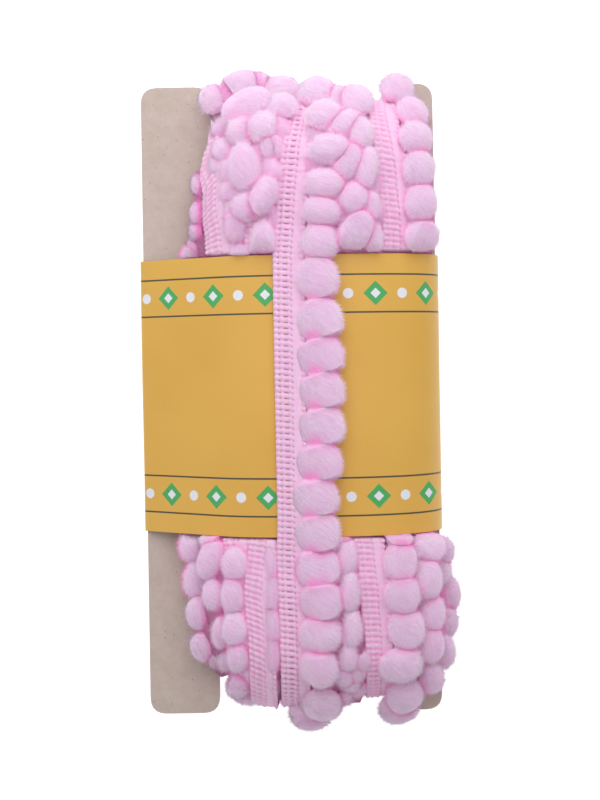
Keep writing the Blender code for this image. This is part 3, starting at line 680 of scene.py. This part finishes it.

# Pompoms that show at the front, read off the picture. px, py: the middle. long, wide: half its
# length and width in pixels. turn: the length's angle from X in degrees. lift: the middle's height over the
# skin in millimetres. deep: how deep in shade. fan: how far it spreads from the tape like a fan.
Seen = namedtuple("Seen", "px py long wide turn lift deep fan", defaults=(0.0, 0.0))
SEEN = (
    # upper end, left of the last turn
    (213, 100, 13.5, 15, 0, 4.4), (240, 87, 20, 13.5, 15, 4.6), (257, 86, 14, 12, 0, 4.8),
    (231, 95, 18, 9.5, 30, 4.6), (246, 106, 26, 11.5, 28, 5), (281, 91, 18, 15, -5, 4),
    (282, 106, 13.5, 12.5, 0, 4.6), (241, 131, 13.5, 12.5, 0, 4.4), (261, 127, 16, 12, 35, 4.6),
    (244, 167, 23, 14.8, 93, 4.6), (263, 196, 20.5, 11.5, 62, 4.4), (245, 207, 12.5, 12.5, 0, 4.2),
    (263, 241, 11, 19, 0, 3.2), (222, 150, 9, 11, 0, 1.7), (221, 129, 9, 10, 0, 1.4, 0.1),
    (236, 226, 10.5, 15, 0, 1.4, 0.22), (279, 128, 9, 10, 0, 1.6, 0.3), (268, 149, 9, 10, 20, 1.8, 0.22),
    (276, 147, 7, 11, 0, 1.4, 0.26), (272, 170, 8.5, 10, 30, 1.6, 0.22), (231, 192, 11, 10, 0, 1.4, 0.2),
    (258, 152, 9, 7, 0, 1.4, 0.3), (227, 172, 6.5, 11, 0, 1, 0.2), (241, 252, 9, 7, 0, 0.8, 0.15),
    (231, 212, 5.5, 12, 0, 0.8, 0.15), (219, 115, 7, 7, 0, 1.4, 0.1), (216, 165, 6, 9, 0, 0.9, 0.1),
    (271, 216, 5, 10, 0, 0.8, 0.3),
    # the left side, upper end
    (199, 185, 6.5, 10.5, 0, 0.1), (198.5, 213, 6.5, 11.5, 0, 0.1), (197, 231, 6.5, 9, 0, 0, 0.1),
    (196, 248, 8, 11, 0, 0.3), (190, 256, 8, 9, 0, 0.3),
    # upper end, between the last turn and the right one
    (317, 93, 17.5, 16.5, 0, 4.2), (339, 97, 9, 11.5, 0, 4), (356, 102, 15.5, 16.5, -10, 4),
    (324, 116, 17.5, 15, 8, 4.6), (344, 125, 17.5, 10.8, 40, 4), (360, 134, 16, 11, 87, 3.8),
    (329, 149, 19, 14, 4, 4.6), (347, 162, 18.5, 12, 60, 3.6), (366, 169, 21, 10, 80, 3.4),
    (324, 184, 19, 14, -4, 4.6), (353, 198, 14.5, 13.5, 50, 3.8), (371, 206, 14.5, 8.5, 95, 2.6),
    (321, 211, 18, 13.5, -6, 4.6), (356, 231, 21.5, 15.5, 62, 4), (373, 238, 15.5, 8.5, 95, 2.2),
    (319, 242, 16.5, 17.5, 0, 4.8), (341, 180, 9, 10, 0, 0.6, 0.4), (341, 214, 9, 11, 0, 0.8, 0.4),
    (336, 240, 8, 12, 0, 0.6, 0.4), (372, 186, 9, 9, 0, 0.6, 0.35), (377, 214, 7, 10, 0, 0.4, 0.35),
    (352, 144, 8, 8, 0, 1.6, 0.2), (316, 134, 9, 8, 0, 1.2, 0.2), (315, 166, 9, 8, 0, 0.8, 0.4),
    # the last turn, over the band
    (318, 278, 18.5, 21.5, 16, 5, 0, 0.5), (320.5, 319, 20, 23, 19, 4.6, 0, 0.8),
    (322, 355, 20, 22, 19, 4.5, 0, 1), (323, 390, 19.5, 22, 17, 4.5, 0, 1),
    (323, 426, 19.5, 22.5, 16, 4.5, 0, 1), (321, 462, 19.5, 21.5, 14, 4.5, 0, 1),
    (316.5, 497, 19.5, 21.5, 14, 4.5, 0, 1),
    # the last turn, lower end
    (319, 533, 19.5, 21, 12, 4.6, 0, 0.9), (318.5, 568, 20, 20, 10, 4.6, 0, 0.8),
    (322, 601, 18.5, 21, 10, 4.7, 0, 0.6), (320, 635, 19.5, 17, 8, 4.7, 0, 0.6),
    (319, 669, 17, 19, 8, 4.7, 0, 0.4), (322, 704, 18.5, 18, 0, 4.7), (311, 714, 20, 12.5, 0, 3.4),
    # the right turn, upper end
    (397, 89, 16, 13, 0, 4.4), (412, 113, 15.5, 13, -38, 3.8), (415, 138, 16.5, 15, -12, 3.8),
    (418, 169, 15.5, 17, 0, 3.8), (420, 203, 15.5, 17.5, 0, 3.8), (421, 236, 17, 15.8, 0, 3.8),
    # the right turn, lower end
    (401, 531, 14.5, 15, 0, 4), (401, 562, 15, 18.5, 0, 4.4, 0, 0.3),
    (403, 595, 15.8, 18.5, 0, 4.4, 0, 0.3), (407, 629, 16.5, 19, 0, 4.4, 0, 0.3),
    (401, 665, 20, 16.5, 8, 4.4, 0, 0.3), (405, 695, 18, 17, 0, 4.5), (399, 707, 19, 13.5, 0, 3.6),
    (429, 545, 15.5, 16, 0, 3.4), (427, 579, 13.5, 19, 0, 3.4), (431, 612, 11.5, 17.5, 0, 3.2),
    (430, 644, 11.5, 17.5, 0, 3.2), (430, 677, 11.5, 17.5, 0, 3.2), (443, 551, 9, 12, 0, 2),
    (441, 572, 9, 11, 0, 1.6), (447, 594, 9.5, 17, 0, 2.4), (446, 621, 9.5, 14, 0, 2.2),
    (442, 651, 9, 17, 0, 2), (438.5, 682, 7.5, 14, 0, 1.6),
    # between the last turn and the right one, lower end
    (347, 556, 9, 17, 0, 2.2), (349, 592, 9.5, 19, 0, 2.2), (351, 628, 9.5, 18, 0, 2.2),
    (348, 657, 8.5, 13, 0, 2), (344, 676, 8.5, 9, 0, 1.6), (356, 673, 7.5, 8, 0, 1.2, 0.15),
    (345, 695, 8, 10, 0, 1.8), (358, 688, 7, 9, 0, 1, 0.2), (351, 683, 9, 8, 0, 1.4, 0.1),
    (341, 540, 8, 9, 0, 0.6, 0.35), (362, 660, 7, 9, 0, 1, 0.15),
    # the left side, lower end
    (191, 545, 10.5, 16, 0, 1.6), (209, 534, 10.5, 11.5, 0, 1.8), (212, 559, 20.5, 11.3, 68, 2.2),
    (196, 579, 11.3, 18, 0, 1.6), (214, 594, 8.8, 16, 0, 1.6), (201, 613, 12, 16.5, 0, 1.6),
    (205.5, 645, 14, 16.5, 0, 1.8), (235, 563, 12, 15.5, 0, 2.4), (233, 595, 10.5, 17, 0, 2.4),
    (235, 628, 11.5, 15.5, 0, 2.6), (222, 632, 8, 16, 0, 1, 0.15), (238, 657, 9.8, 14.8, 0, 2.4),
    (226, 660, 7, 11, 0, 0.8, 0.15), (217, 657, 6, 13, 0, 0.6, 0.1), (239, 685, 10.5, 15, 0, 2.4),
    # fuzz of the second turn beside the last one, lower end
    (272, 562, 6, 19, 4, -0.4, 0.2), (273, 592, 6, 20, -4, -0.4, 0.2), (273, 622, 6.5, 20, 4, -0.4, 0.2),
    (274, 652, 6, 20, 0, -0.4, 0.25), (275, 681, 5, 18, 0, -1, 0.25),
)


def in_picture(points):
    """Where points in millimetres fall in the picture, in pixels from its top left corner."""
    away = points - CAMERA_PLACE * 1000
    c, s = math.cos(-CAMERA_TURN), math.sin(-CAMERA_TURN)
    x = away[..., 0] * c - away[..., 1] * s
    y = away[..., 0] * s + away[..., 1] * c
    depth = -away[..., 2]
    across, down = FOCAL * x / depth, FOCAL * y / depth
    return np.stack([PICTURE_WIDTH / 2 + across, PICTURE_HEIGHT / 2 - down + SHIFT_Y * PICTURE_HEIGHT], -1)


NEAR_ENOUGH = 1.5  # pixels
LIFT_TRIES, LIFT_COST = np.arange(0, 5.6, 0.35), 1.2  # millimetres, and how many pixels each is worth
GRID_U, GRID_X = np.meshgrid(np.linspace(-0.62, 1.62, 450), np.linspace(-27, 42, 277), indexing="ij")
GRID_SKIN, GRID_OUT = skin(GRID_X, GRID_U), outward(GRID_X, GRID_U)


def search_grid(seen, lift, gain):
    """The grid's place that falls nearest to a pompom. gain: pixels that each mm of height is worth."""
    points = GRID_SKIN + GRID_OUT * lift
    apart = in_picture(points) - (seen.px, seen.py)
    score = np.hypot(apart[..., 0], apart[..., 1]) - gain * points[..., 2]
    i = np.unravel_index(np.argmin(score), score.shape)
    return score[i], GRID_X[i], GRID_U[i], points[i]


def refine(seen, x, u, lift):
    """x and u moved by Newton's steps until the place falls on the pompom in the picture."""

    def at(x, u):
        return in_picture(skin(x, u) + outward(x, u) * lift)

    step_x, step_u, pace, longest = 0.1, 0.002, 0.8, np.array([2, 0.03])
    for _ in range(8):
        here = at(x, u)
        by_x, by_u = (at(x + step_x, u) - here) / step_x, (at(x, u + step_u) - here) / step_u
        slopes = np.stack([by_x, by_u], 1)
        if abs(np.linalg.det(slopes)) < 1:
            break
        move = np.linalg.solve(slopes, np.array([seen.px, seen.py]) - here)
        move = np.clip(move, -longest, longest)
        x, u = x + move[0] * pace, u + move[1] * pace
    point = skin(x, u) + outward(x, u) * lift
    return x, u, point, np.linalg.norm(in_picture(point) - [seen.px, seen.py])


def on_turns(seen):
    """A pompom's place on the turns and its size in millimetres, from where it shows in the picture."""
    lift = seen.lift
    x, u, point, off = refine(seen, *search_grid(seen, lift, 0.02)[1:3], lift)
    if off > NEAR_ENOUGH:
        # It stands out past the body's edge, so it is lifted as little as reaches it.
        tries = [(search_grid(seen, lift + more, 0.05), more) for more in LIFT_TRIES]
        (_, x, u, point), more = min(tries, key=lambda one: one[0][0] + LIFT_COST * one[1])
        lift = lift + more
    scale = (CAMERA_PLACE[2] * 1000 - point[2]) / FOCAL
    # Rounded, so that the last digits of the search don't move anything.
    return dict(x=np.round(x, 1), u=np.round(u, 3), lift=np.round(lift, 1), a=np.round(seen.long * scale, 1),
                b=np.round(seen.wide * scale, 1), turn=seen.turn, deep=seen.deep, fan=seen.fan)


# Rows that go on round an end and over the back, to the band: from x and to x, from u and to u, and lift
ROUNDED = (
    (-24.4, -29.0, 1.46, 2.44, 1.6), (-14.6, -12.3, 1.44, 2.44, 1.4), (-3.0, 5.0, 1.64, 2.44, 3.4),
    (6.0, 22.3, 1.58, 2.44, 4.0), (33.0, 39.0, 1.56, 2.44, 4.0),
    (-22.0, -29.0, -0.66, -1.46, 1.6), (-14.0, -12.3, -0.66, -1.46, 3.0),
    (-2.4, 5.0, -0.60, -1.46, 3.4), (11.0, 22.3, -0.54, -1.46, 4.0),
    (33.6, 39.0, -0.60, -1.46, 4.0), (20.4, 20.8, -0.56, -0.80, 2.4),
)
CLEAR_OF_BAND = 5.0  # how far from the band a row stops


def rounded_rows():
    made = []
    for x0, x1, u0, u1, lift in ROUNDED:
        us = np.linspace(u0, u1, 500)
        xs = mix(x0, x1, smooth(1.5 * (us - u0) / (u1 - u0)))
        path = skin(xs, us) + outward(xs, us) * lift
        along = distances(path)
        stop = np.where(path[:, 1] < 0, -BAND_LOW, BAND_HIGH) + CLEAR_OF_BAND
        last = along[np.abs(path[:, 1]) > stop][-1]
        for k in range(int(last / PITCH) + 1):
            i = int(np.searchsorted(along, k * PITCH))
            made.append(dict(x=float(xs[i]) + rng.uniform(-0.4, 0.4), u=float(us[i]),
                             lift=lift + rng.uniform(-0.3, 0.3), a=rng.uniform(4.8, 5.2),
                             b=rng.uniform(4.6, 5.0), turn=rng.uniform(-12, 12), deep=0.0, fan=0.0))
    return made


# ---- Pompoms
PLUMP = 1.05
DEPTH, FAN_FLATTER = 4.6, 0.7  # half the depth of a pompom, and how much less it is for a fan
BACK_DEPTH, BACK_LEVEL = 4.3, 3.9  # at the back: half the depth, and how high the middle lies
ROUNDNESS = 2.15  # 2 would be an ellipsoid. More is squarer
FILL = 1.7  # how far fibres fill the crease between two
FIBRES, BACK_SHARE = 1480, 0.3  # fibres on a pompom at the front, and the share of them at the back
STAND_OFF, LIE_ALONG, TANGLE = (0.35, 1.0), (0.1, 0.9), 0.30  # how fibres lean out, along the pile and astray
FIBRE_LENGTH, FIBRE_WIDTH = (0.7, 1.7), (0.045, 0.08)
NEIGHBOURS, PILES = 13, 4
TAB_LEFT, TAB_RIGHT, TAB_REACH = -23.3, 31.0, 3.2  # the card's tabs, and how close above and below they count
BY_BAND = 9  # a pompom nearer than this to the band bulges out from under its edge
LAST_ROW, BAND_U, BAND_U_REACH = (5, 11.5), 0.47, 0.31  # where the last turn's pompoms lie on the band


def ball(n):
    """Unit points and quads of a ball with even faces: six sides of n by n."""
    t = np.tan(np.linspace(-math.pi / 4, math.pi / 4, n + 1))
    a, b = np.meshgrid(t, t, indexing="ij")
    c = np.ones_like(a)
    sheets = [(a, b, c), (b, a, -c), (c, a, b), (-c, b, a), (b, c, a), (a, -c, b)]
    points = unit(np.concatenate([np.stack(s, -1).reshape(-1, 3) for s in sheets]))
    quads = np.concatenate([grid_quads(n + 1, n + 1) + k * (n + 1) ** 2 for k in range(6)])
    _, first, back = np.unique(np.round(points, 6), axis=0, return_index=True, return_inverse=True)
    return points[first], back.reshape(-1)[quads]


BALL, BALL_QUADS = ball(9)


class Pompom:
    """Where one pompom lies, how big it is and which way its fibres grow. spec: as on_turns gives it."""

    def __init__(self, spec, seed):
        x, u, a, b = spec["x"], spec["u"], spec["a"], spec["b"]
        self.lift, self.deep, self.fan = spec["lift"], spec["deep"], spec["fan"]
        self.foot = skin(x, u)
        self.out = outward(x, u)
        self.middle = self.foot + self.out * self.lift
        self.back = self.out[2] < -0.8
        if self.back:
            self.out = np.array([0.0, 0.0, -1.0])
            self.middle[2] = BACK_LEVEL
        across = unit(np.array([1.0, 0, 0]) - self.out * self.out[0])
        along = np.cross(self.out, across)
        turn = math.radians(spec["turn"])
        self.first = across * math.cos(turn) + along * math.sin(turn)
        self.second = np.cross(self.out, self.first)
        depth = BACK_DEPTH if self.back else DEPTH - FAN_FLATTER * self.fan
        self.radii = PLUMP * np.array([a, b, min(depth, 0.5 * (a + b))])
        self.frame = np.stack([self.first, self.second, self.out])
        self.over_band = abs(u % 4 - BAND_U) < BAND_U_REACH and LAST_ROW[0] < x < LAST_ROW[1]
        self.floor = ON_BAND + 0.05 if self.over_band else -0.6
        self.chance = np.random.default_rng(1000 + seed)
        root = np.array([-0.80, -0.52 if self.back else 0.52, 0.12]) + self.chance.normal(0, 0.12, 3)
        self.root = unit(across * root[0] + along * root[1] + self.out * root[2])

    def in_tab(self):
        """Whether its middle is where a tab of the card is."""
        outside_notch = self.middle[0] < TAB_LEFT or self.middle[0] > TAB_RIGHT
        return outside_notch and abs(self.middle[2] - CARD_MID_Z) < TAB_REACH


def lumps(chance, directions, count, spread):
    """A smooth random swelling over a ball, about from -1 to 1."""
    total = np.zeros(len(directions))
    for _ in range(count):
        axis = unit(chance.normal(size=3))
        total += chance.uniform(-1, 1) * np.exp(-(1 - directions @ axis) / spread)
    return total


def shape_pompom(p):
    """Points of one pompom: an uneven ball whose fibres run from its root, where it is drawn in."""
    chance = p.chance
    side = unit(np.cross(p.root, [0.3, 0.2, 1.0]))
    other = np.cross(p.root, side)
    local = BALL @ p.frame
    polar = np.arccos(np.clip(local @ p.root, -1, 1))
    grain = np.stack([local @ side, local @ other, polar], -1)
    azimuth = np.arctan2(grain[:, 1], grain[:, 0])
    ridges = 0
    for k in (5, 8, 11, 15):
        ridges = ridges + chance.uniform(0.3, 1.0) * np.cos(k * azimuth + chance.uniform(0, 6.3))
    ridges = ridges * np.sin(polar) * (0.35 + 0.65 * np.exp(-polar))
    square = np.sum(np.abs(BALL) ** ROUNDNESS, 1) ** (-1 / ROUNDNESS)
    drawn_in = 0.10 * np.exp(-(polar / 0.30) ** 2)
    radius = square * (1 + 0.040 * lumps(chance, local, 8, 0.16) + 0.010 * ridges - drawn_in)
    points = (BALL * radius[:, None] * p.radii) @ p.frame
    # A brushed fan thins out towards the tape that it grows from.
    across = -(points @ p.first) / p.radii[0]
    height = p.lift - p.floor + points @ p.out
    lying = p.fan * smooth((across + 0.15) / 1.15)
    points = points - p.first * (1.1 * lying)[:, None]
    points = points - p.out * (0.72 * lying * np.maximum(height, 0))[:, None]
    return p.middle + points, grain, polar


def soft_limit(value, limit, softness):
    """value, held below limit with a rounded turn."""
    past = (value - limit) / softness
    return np.where(past > -4, limit - softness * np.log1p(np.exp(-past.clip(-30, 30))), value)


def meet(p, q, points):
    """p's points held back where q begins, and how near each is to that wall. None if they don't touch."""
    away = np.linalg.norm(q.middle - p.middle)
    axis = (q.middle - p.middle) / away
    mine = 1 / np.linalg.norm((p.frame @ axis) / p.radii)
    theirs = 1 / np.linalg.norm((q.frame @ axis) / q.radii)
    gap = away - mine - theirs
    if gap > 0.8:
        return None
    plane = mine + gap / 2 + 0.35
    if p.fan > 0.3 and q.fan > 0.3:
        axis = unit(p.second + q.second)
        axis = axis * np.sign(axis @ (q.middle - p.middle))
        plane = (q.middle - p.middle) @ axis / 2 + 0.3
        mine = 0.0
    reach = (points - p.middle) @ axis
    wall = max(plane, 0.4 * mine)
    held = soft_limit(reach, wall, 0.45)
    return points + axis * (held - reach)[:, None], np.exp(-((wall - held) / 1.15) ** 2)


def press(p, near, points):
    """p's points, pressed against the pompoms near it, the turns, the band's edge and the surface beneath."""
    filled = np.zeros(len(points))
    for q in near:
        met = meet(p, q, points)
        if met:
            points = met[0]
            filled = np.maximum(filled, met[1])
    # Where two meet, their fibres fill the crease.
    height = (points - p.middle) @ p.out
    low = np.sqrt(np.clip(1 - height / p.radii[2], 0, 1))
    fill = FILL * max(float(p.out[2]), 0.2)
    points = points + p.out * (fill * filled * low * smooth(height / 2.4 + 0.2))[:, None]
    # It rests on the turns beneath, on the band, or on the surface that the card lies on.
    height = (points - p.foot) @ p.out
    points = points + p.out * (-soft_limit(-height, -p.floor, 0.25) - height)[:, None]
    if not p.over_band and beyond_band(p.middle[1]) < BY_BAND:
        # Beside the band it bulges out from under the paper's edge.
        sign, edge = (1, BAND_LOW) if p.middle[1] < 0 else (-1, BAND_HIGH)
        points[:, 1] = sign * soft_limit(sign * points[:, 1], sign * edge + 0.4, 0.2)
        clear = np.clip(beyond_band(points[:, 1]), 0.0, 6.0)
        height = (points - p.foot) @ p.out
        held = soft_limit(height, 0.1 + 1.15 * np.sqrt(clear * (12.0 - clear)), 0.2)
        points = points + p.out * (held - height)[:, None]
    points[:, 2] = -soft_limit(-points[:, 2], -0.05, 0.2)
    return points


def painted_shade_at(p, near, points, polar):
    """How deep in shade each point of p lies: at its root, beside its neighbours and low on the turns."""
    painted_shade = np.maximum(0.5 * p.fan * np.exp(-(polar / 0.22) ** 2), p.deep)
    spread = 1.7 * min(1.0, p.radii.mean() / 4.6)
    for q in near:
        depth = np.linalg.norm(((points - q.middle) @ q.frame.T) / q.radii, axis=1) - 1
        painted_shade = np.maximum(painted_shade, 0.58 * np.exp(-np.maximum(depth, 0) * q.radii.mean() / spread))
    height = (points - p.foot) @ p.out - (ON_BAND if p.over_band else 0)
    size = min(1.0, (p.lift + p.radii[2]) / 6.5)
    strength = 0.35 if p.over_band or p.back else 0.95
    return np.maximum(painted_shade, strength * np.exp(-np.maximum(height / size - 0.8, 0) / 1.7))


def ball_normals(points):
    """Normals at the points of one ball."""
    a, b, c, d = (points[BALL_QUADS[:, k]] for k in range(4))
    flat = np.cross(c - a, d - b)
    total = np.zeros_like(points)
    for k in range(4):
        np.add.at(total, BALL_QUADS[:, k], flat)
    return unit(total)


def make_pompoms():
    """All the pompoms, as two pieces of balls and four of the fibres that stand off them."""
    specs = [on_turns(Seen(*row)) for row in SEEN] + rounded_rows()
    pompoms = [Pompom(spec, k) for k, spec in enumerate(specs)]
    pompoms = [p for p in pompoms if not p.in_tab()]
    middles = np.array([p.middle for p in pompoms])
    mean = np.array([p.radii.mean() for p in pompoms])
    shaped = []
    for k, p in enumerate(pompoms):
        away = np.linalg.norm(middles - p.middle, axis=1)
        near = [pompoms[j] for j in np.argsort(away)[1:NEIGHBOURS + 1] if away[j] < mean[j] + mean[k] + 1.0]
        points, grain, polar = shape_pompom(p)
        points = press(p, near, points)
        # Painted shade for each point: deeper pink in creases, at the root and low on the turns.
        painted_shade = np.clip(painted_shade_at(p, near, points, polar), 0, 1)
        shade = np.stack([painted_shade, np.full(len(points), p.chance.random()), 0 * painted_shade], -1)
        normals = unit(ball_normals(points) * 0.65 + p.out * 0.35)
        shaped.append((p, points, shade, grain, normals))
    made = [fuzz("pompom_pile_%d" % (n + 1), shaped[n::PILES], 50 + n) for n in range(PILES)]
    half = len(shaped) // 2
    for n, group in enumerate((shaped[:half], shaped[half:])):
        _, points, shades, grains, normals = zip(*group)
        quads = np.concatenate([BALL_QUADS + k * len(BALL) for k in range(len(group))])
        made.append(make_piece("pompoms_%d" % (n + 1), np.concatenate(points), quads, np.concatenate(shades),
                               np.concatenate(grains), POMPOM_YARN, np.concatenate(normals)))
    return made


def fuzz(name, group, seed):
    """Short fibres that stand off the pompoms: thin three-sided spikes, closer at sides and in creases."""
    dice = np.random.default_rng(seed)
    gathered = []
    for p, points, shade, grain, _ in group:
        a, b, c, d = (points[BALL_QUADS[:, k]] for k in range(4))
        flat = np.cross(c - a, d - b)
        area = np.linalg.norm(flat, axis=1) + 1e-9
        normal = flat / area[:, None]
        facing = normal @ p.out
        crease = shade[BALL_QUADS, 0].mean(1)
        closer = 0.45 + 1.5 * (1 - np.abs(facing)) ** 1.5 + 0.3 * np.minimum(crease, 0.6)
        weight = area * np.where(facing < -0.35, 0.1, closer)
        count = int((1.0 if p.out[2] > 0.1 else BACK_SHARE) * FIBRES)
        pick = dice.choice(len(area), count, p=weight / weight.sum())
        s, t = dice.random((2, len(pick), 1))
        root = (a[pick] * (1 - s) + b[pick] * s) * (1 - t) + (d[pick] * (1 - s) + c[pick] * s) * t
        corner = BALL_QUADS[pick, 0]
        up = normal[pick]
        bearing = unit(points[corner] - p.middle)
        run = unit(bearing * (bearing @ p.root)[:, None] - p.root)
        run = run - up * np.sum(run * up, 1, keepdims=True)
        column = (len(pick), 1)
        lean = up * dice.uniform(*STAND_OFF, column) + run * dice.uniform(*LIE_ALONG, column)
        lean = unit(lean + dice.normal(0, TANGLE, (len(pick), 3)))
        length = dice.uniform(*FIBRE_LENGTH, column) * (0.75 + 0.35 * np.abs(1 - facing[pick, None]))
        tip = root + lean * length
        keep = np.full(len(tip), True)
        if not p.over_band:
            keep = np.minimum(beyond_band(root[:, 1]), beyond_band(tip[:, 1])) > 0.25
        made = (root - up * 0.15, tip, unit(np.cross(lean, up + 0.01)), shade[corner], grain[corner],
                unit(up * 0.35 + p.out * 0.65))
        gathered.append([values[keep] for values in made])
    root, tip, side, shade, grain, shine = (np.concatenate(values) for values in zip(*gathered))
    third = unit(np.cross(tip - root, side))
    width = dice.uniform(*FIBRE_WIDTH, (len(root), 1))
    foot = root - side * width * 0.5
    corners = [root + side * width, foot + third * width, foot - third * width, tip]
    points = np.stack(corners, 1).reshape(-1, 3)
    points[:, 2] = np.maximum(points[:, 2], 0.05)
    base = np.arange(len(root))[:, None, None] * len(corners)
    faces = (base + np.array([[0, 1, 3], [1, 2, 3], [2, 0, 3]])).reshape(-1, 3)
    shade, grain, shine = (np.repeat(values, len(corners), 0) for values in (shade, grain, shine))
    piece = make_piece(name, points, faces, shade, grain, FIBRE_YARN, shine)
    # Real fibres let light through, so these throw no shadow and take their light as the pile does.
    piece.visible_shadow = piece.visible_diffuse = False
    return piece


for piece in tapes + [core] + make_pompoms():
    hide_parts("winding")


# ---- Card and band
def give_material(obj, material):
    obj.data.materials.clear()
    obj.data.materials.append(material)


give_material(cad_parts["card"], card_material())


def convex_outline(points):
    points = sorted(set(points))

    def chain(ordered):
        kept = []
        for p in ordered:
            while len(kept) > 1:
                (ax, az), (bx, bz) = kept[-2], kept[-1]
                if (bx - ax) * (p[1] - az) - (bz - az) * (p[0] - ax) > 0:
                    break
                kept.pop()
            kept.append(p)
        return kept[:-1]

    return chain(points) + chain(points[::-1])


def band_loop():
    """The band's section, just off the turns and taut to the card, as an even loop of points."""
    points = []
    for x in BODY_MIDDLE + BODY_HALF * np.sin(np.pi / 2 * np.linspace(-1, 1, 81)):
        off = x + 0.4 * (x - BODY_MIDDLE) / BODY_HALF
        points += [(off, front_height(x, 0.0)), (off, -back_depth(x, 0.0))]
    points += [(i * CARD_WIDTH / 2, j * CARD_THICKNESS / 2) for i in (-1, 1) for j in (-1, 1)]
    hull = np.array(convex_outline([(round(float(x), 3), round(float(z), 3)) for x, z in points]))
    closed = np.concatenate([hull, hull[:1]])
    along = distances(closed)
    even = np.unique(np.concatenate([np.linspace(0, along[-1], 141)[:-1], along[:-1]]))
    ring = np.stack([np.interp(even, along, closed[:, k]) for k in (0, 1)], -1)
    ahead = unit(np.roll(ring, -1, 0) - np.roll(ring, 1, 0))
    normal = np.stack([ahead[:, 1], -ahead[:, 0]], -1)
    return ring, normal, even


def make_band():
    """The paper band: a closed sleeve of two layers, with a slight wave in the outer one."""
    ring, normal, around = band_loop()
    rim, margin = 0.05, 1.5
    ys = np.concatenate([[BAND_LOW, BAND_LOW + rim], np.linspace(BAND_LOW + margin, BAND_HIGH - margin, 14),
                         [BAND_HIGH - rim, BAND_HIGH]])
    a, y = np.meshgrid(around, ys, indexing="ij")
    wave = 0.10 * np.sin(a / 21.0 + 0.7) * np.sin(y / 17.0 + a / 60.0) - 0.05
    layers = []
    for off in (CLEARANCE + BAND_THICKNESS + wave, CLEARANCE + 0.3 + 0 * wave):
        xz = ring[:, None, :] + normal[:, None, :] * off[..., None]
        layers.append(np.stack([xz[..., 0], y, CARD_MID_Z + xz[..., 1]], -1).reshape(-1, 3))
    rows, columns = a.shape
    front = grid_quads(rows, columns, wrap_rows=True)[:, ::-1]
    behind = front[:, ::-1] + rows * columns
    r = np.arange(rows)
    edges = []
    for column, flip in ((0, False), (columns - 1, True)):
        here, ahead = r * columns + column, (r + 1) % rows * columns + column
        quad = np.stack([here, ahead, ahead + rows * columns, here + rows * columns], -1)
        edges.append(quad[:, ::-1] if flip else quad)
    quads = np.concatenate([front, behind] + edges)
    obj = new_mesh("paper_band", np.concatenate(layers), quads, band_material())
    grain = np.stack([a, y, 0 * a], -1).reshape(-1, 3)
    attribute(obj, "grain", "FLOAT_VECTOR", np.concatenate([grain, grain]))
    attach(obj, "root")
    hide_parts("band")


make_band()

# ---- Stage, light and camera
STAGE_REACH, STAGE_Z = 2000, -0.02
floor_nodes = Nodes("floor")
floor_nodes.set(Base_Color=(0.6, 0.6, 0.605), Roughness=0.7, Emission_Color=(1.0, 1.0, 1.0),
                Emission_Strength=0.8)
corners = [(i * STAGE_REACH, j * STAGE_REACH, STAGE_Z) for i, j in ((-1, -1), (1, -1), (1, 1), (-1, 1))]
new_mesh("floor", corners, [[0, 1, 2, 3]], floor_nodes.material)


def add_light(name, place, aim, size, power):
    """A round lamp. Places and size are in metres."""
    data = bpy.data.lights.new(name, "AREA")
    data.shape = "DISK"
    data.size = size
    data.energy = power
    obj = bpy.data.objects.new(name, data)
    obj.location = place
    obj.rotation_euler = (Vector(aim) - Vector(place)).to_track_quat("-Z", "Y").to_euler()
    bpy.context.scene.collection.objects.link(obj)


add_light("key", (0.0, 0.27, 0.32), (0, 0.03, 0.02), 0.44, 1.14)
add_light("fill_left", (-0.45, 0.1, 0.55), (0, 0, 0.02), 0.6, 0.44)
add_light("fill_right", (0.45, 0.1, 0.55), (0, 0, 0.02), 0.6, 0.17)

scene = bpy.context.scene
scene.world = scene.world or bpy.data.worlds.new("soft_sky")
scene.world.use_nodes = True
sky = scene.world.node_tree.nodes["Background"]
sky.inputs["Color"].default_value = (1.0, 1.0, 1.0, 1.0)
sky.inputs["Strength"].default_value = 0.47

camera_data = bpy.data.cameras.new("camera")
camera_data.sensor_fit = "VERTICAL"
camera_data.sensor_height = SENSOR_HEIGHT
camera_data.lens = LENS
camera_data.shift_y = SHIFT_Y
camera_data.clip_start = 0.01
camera = bpy.data.objects.new("camera", camera_data)
camera.location = CAMERA_PLACE
camera.rotation_euler = (0.0, 0.0, CAMERA_TURN)
scene.collection.objects.link(camera)
scene.camera = camera
scene.view_settings.view_transform = "Standard"
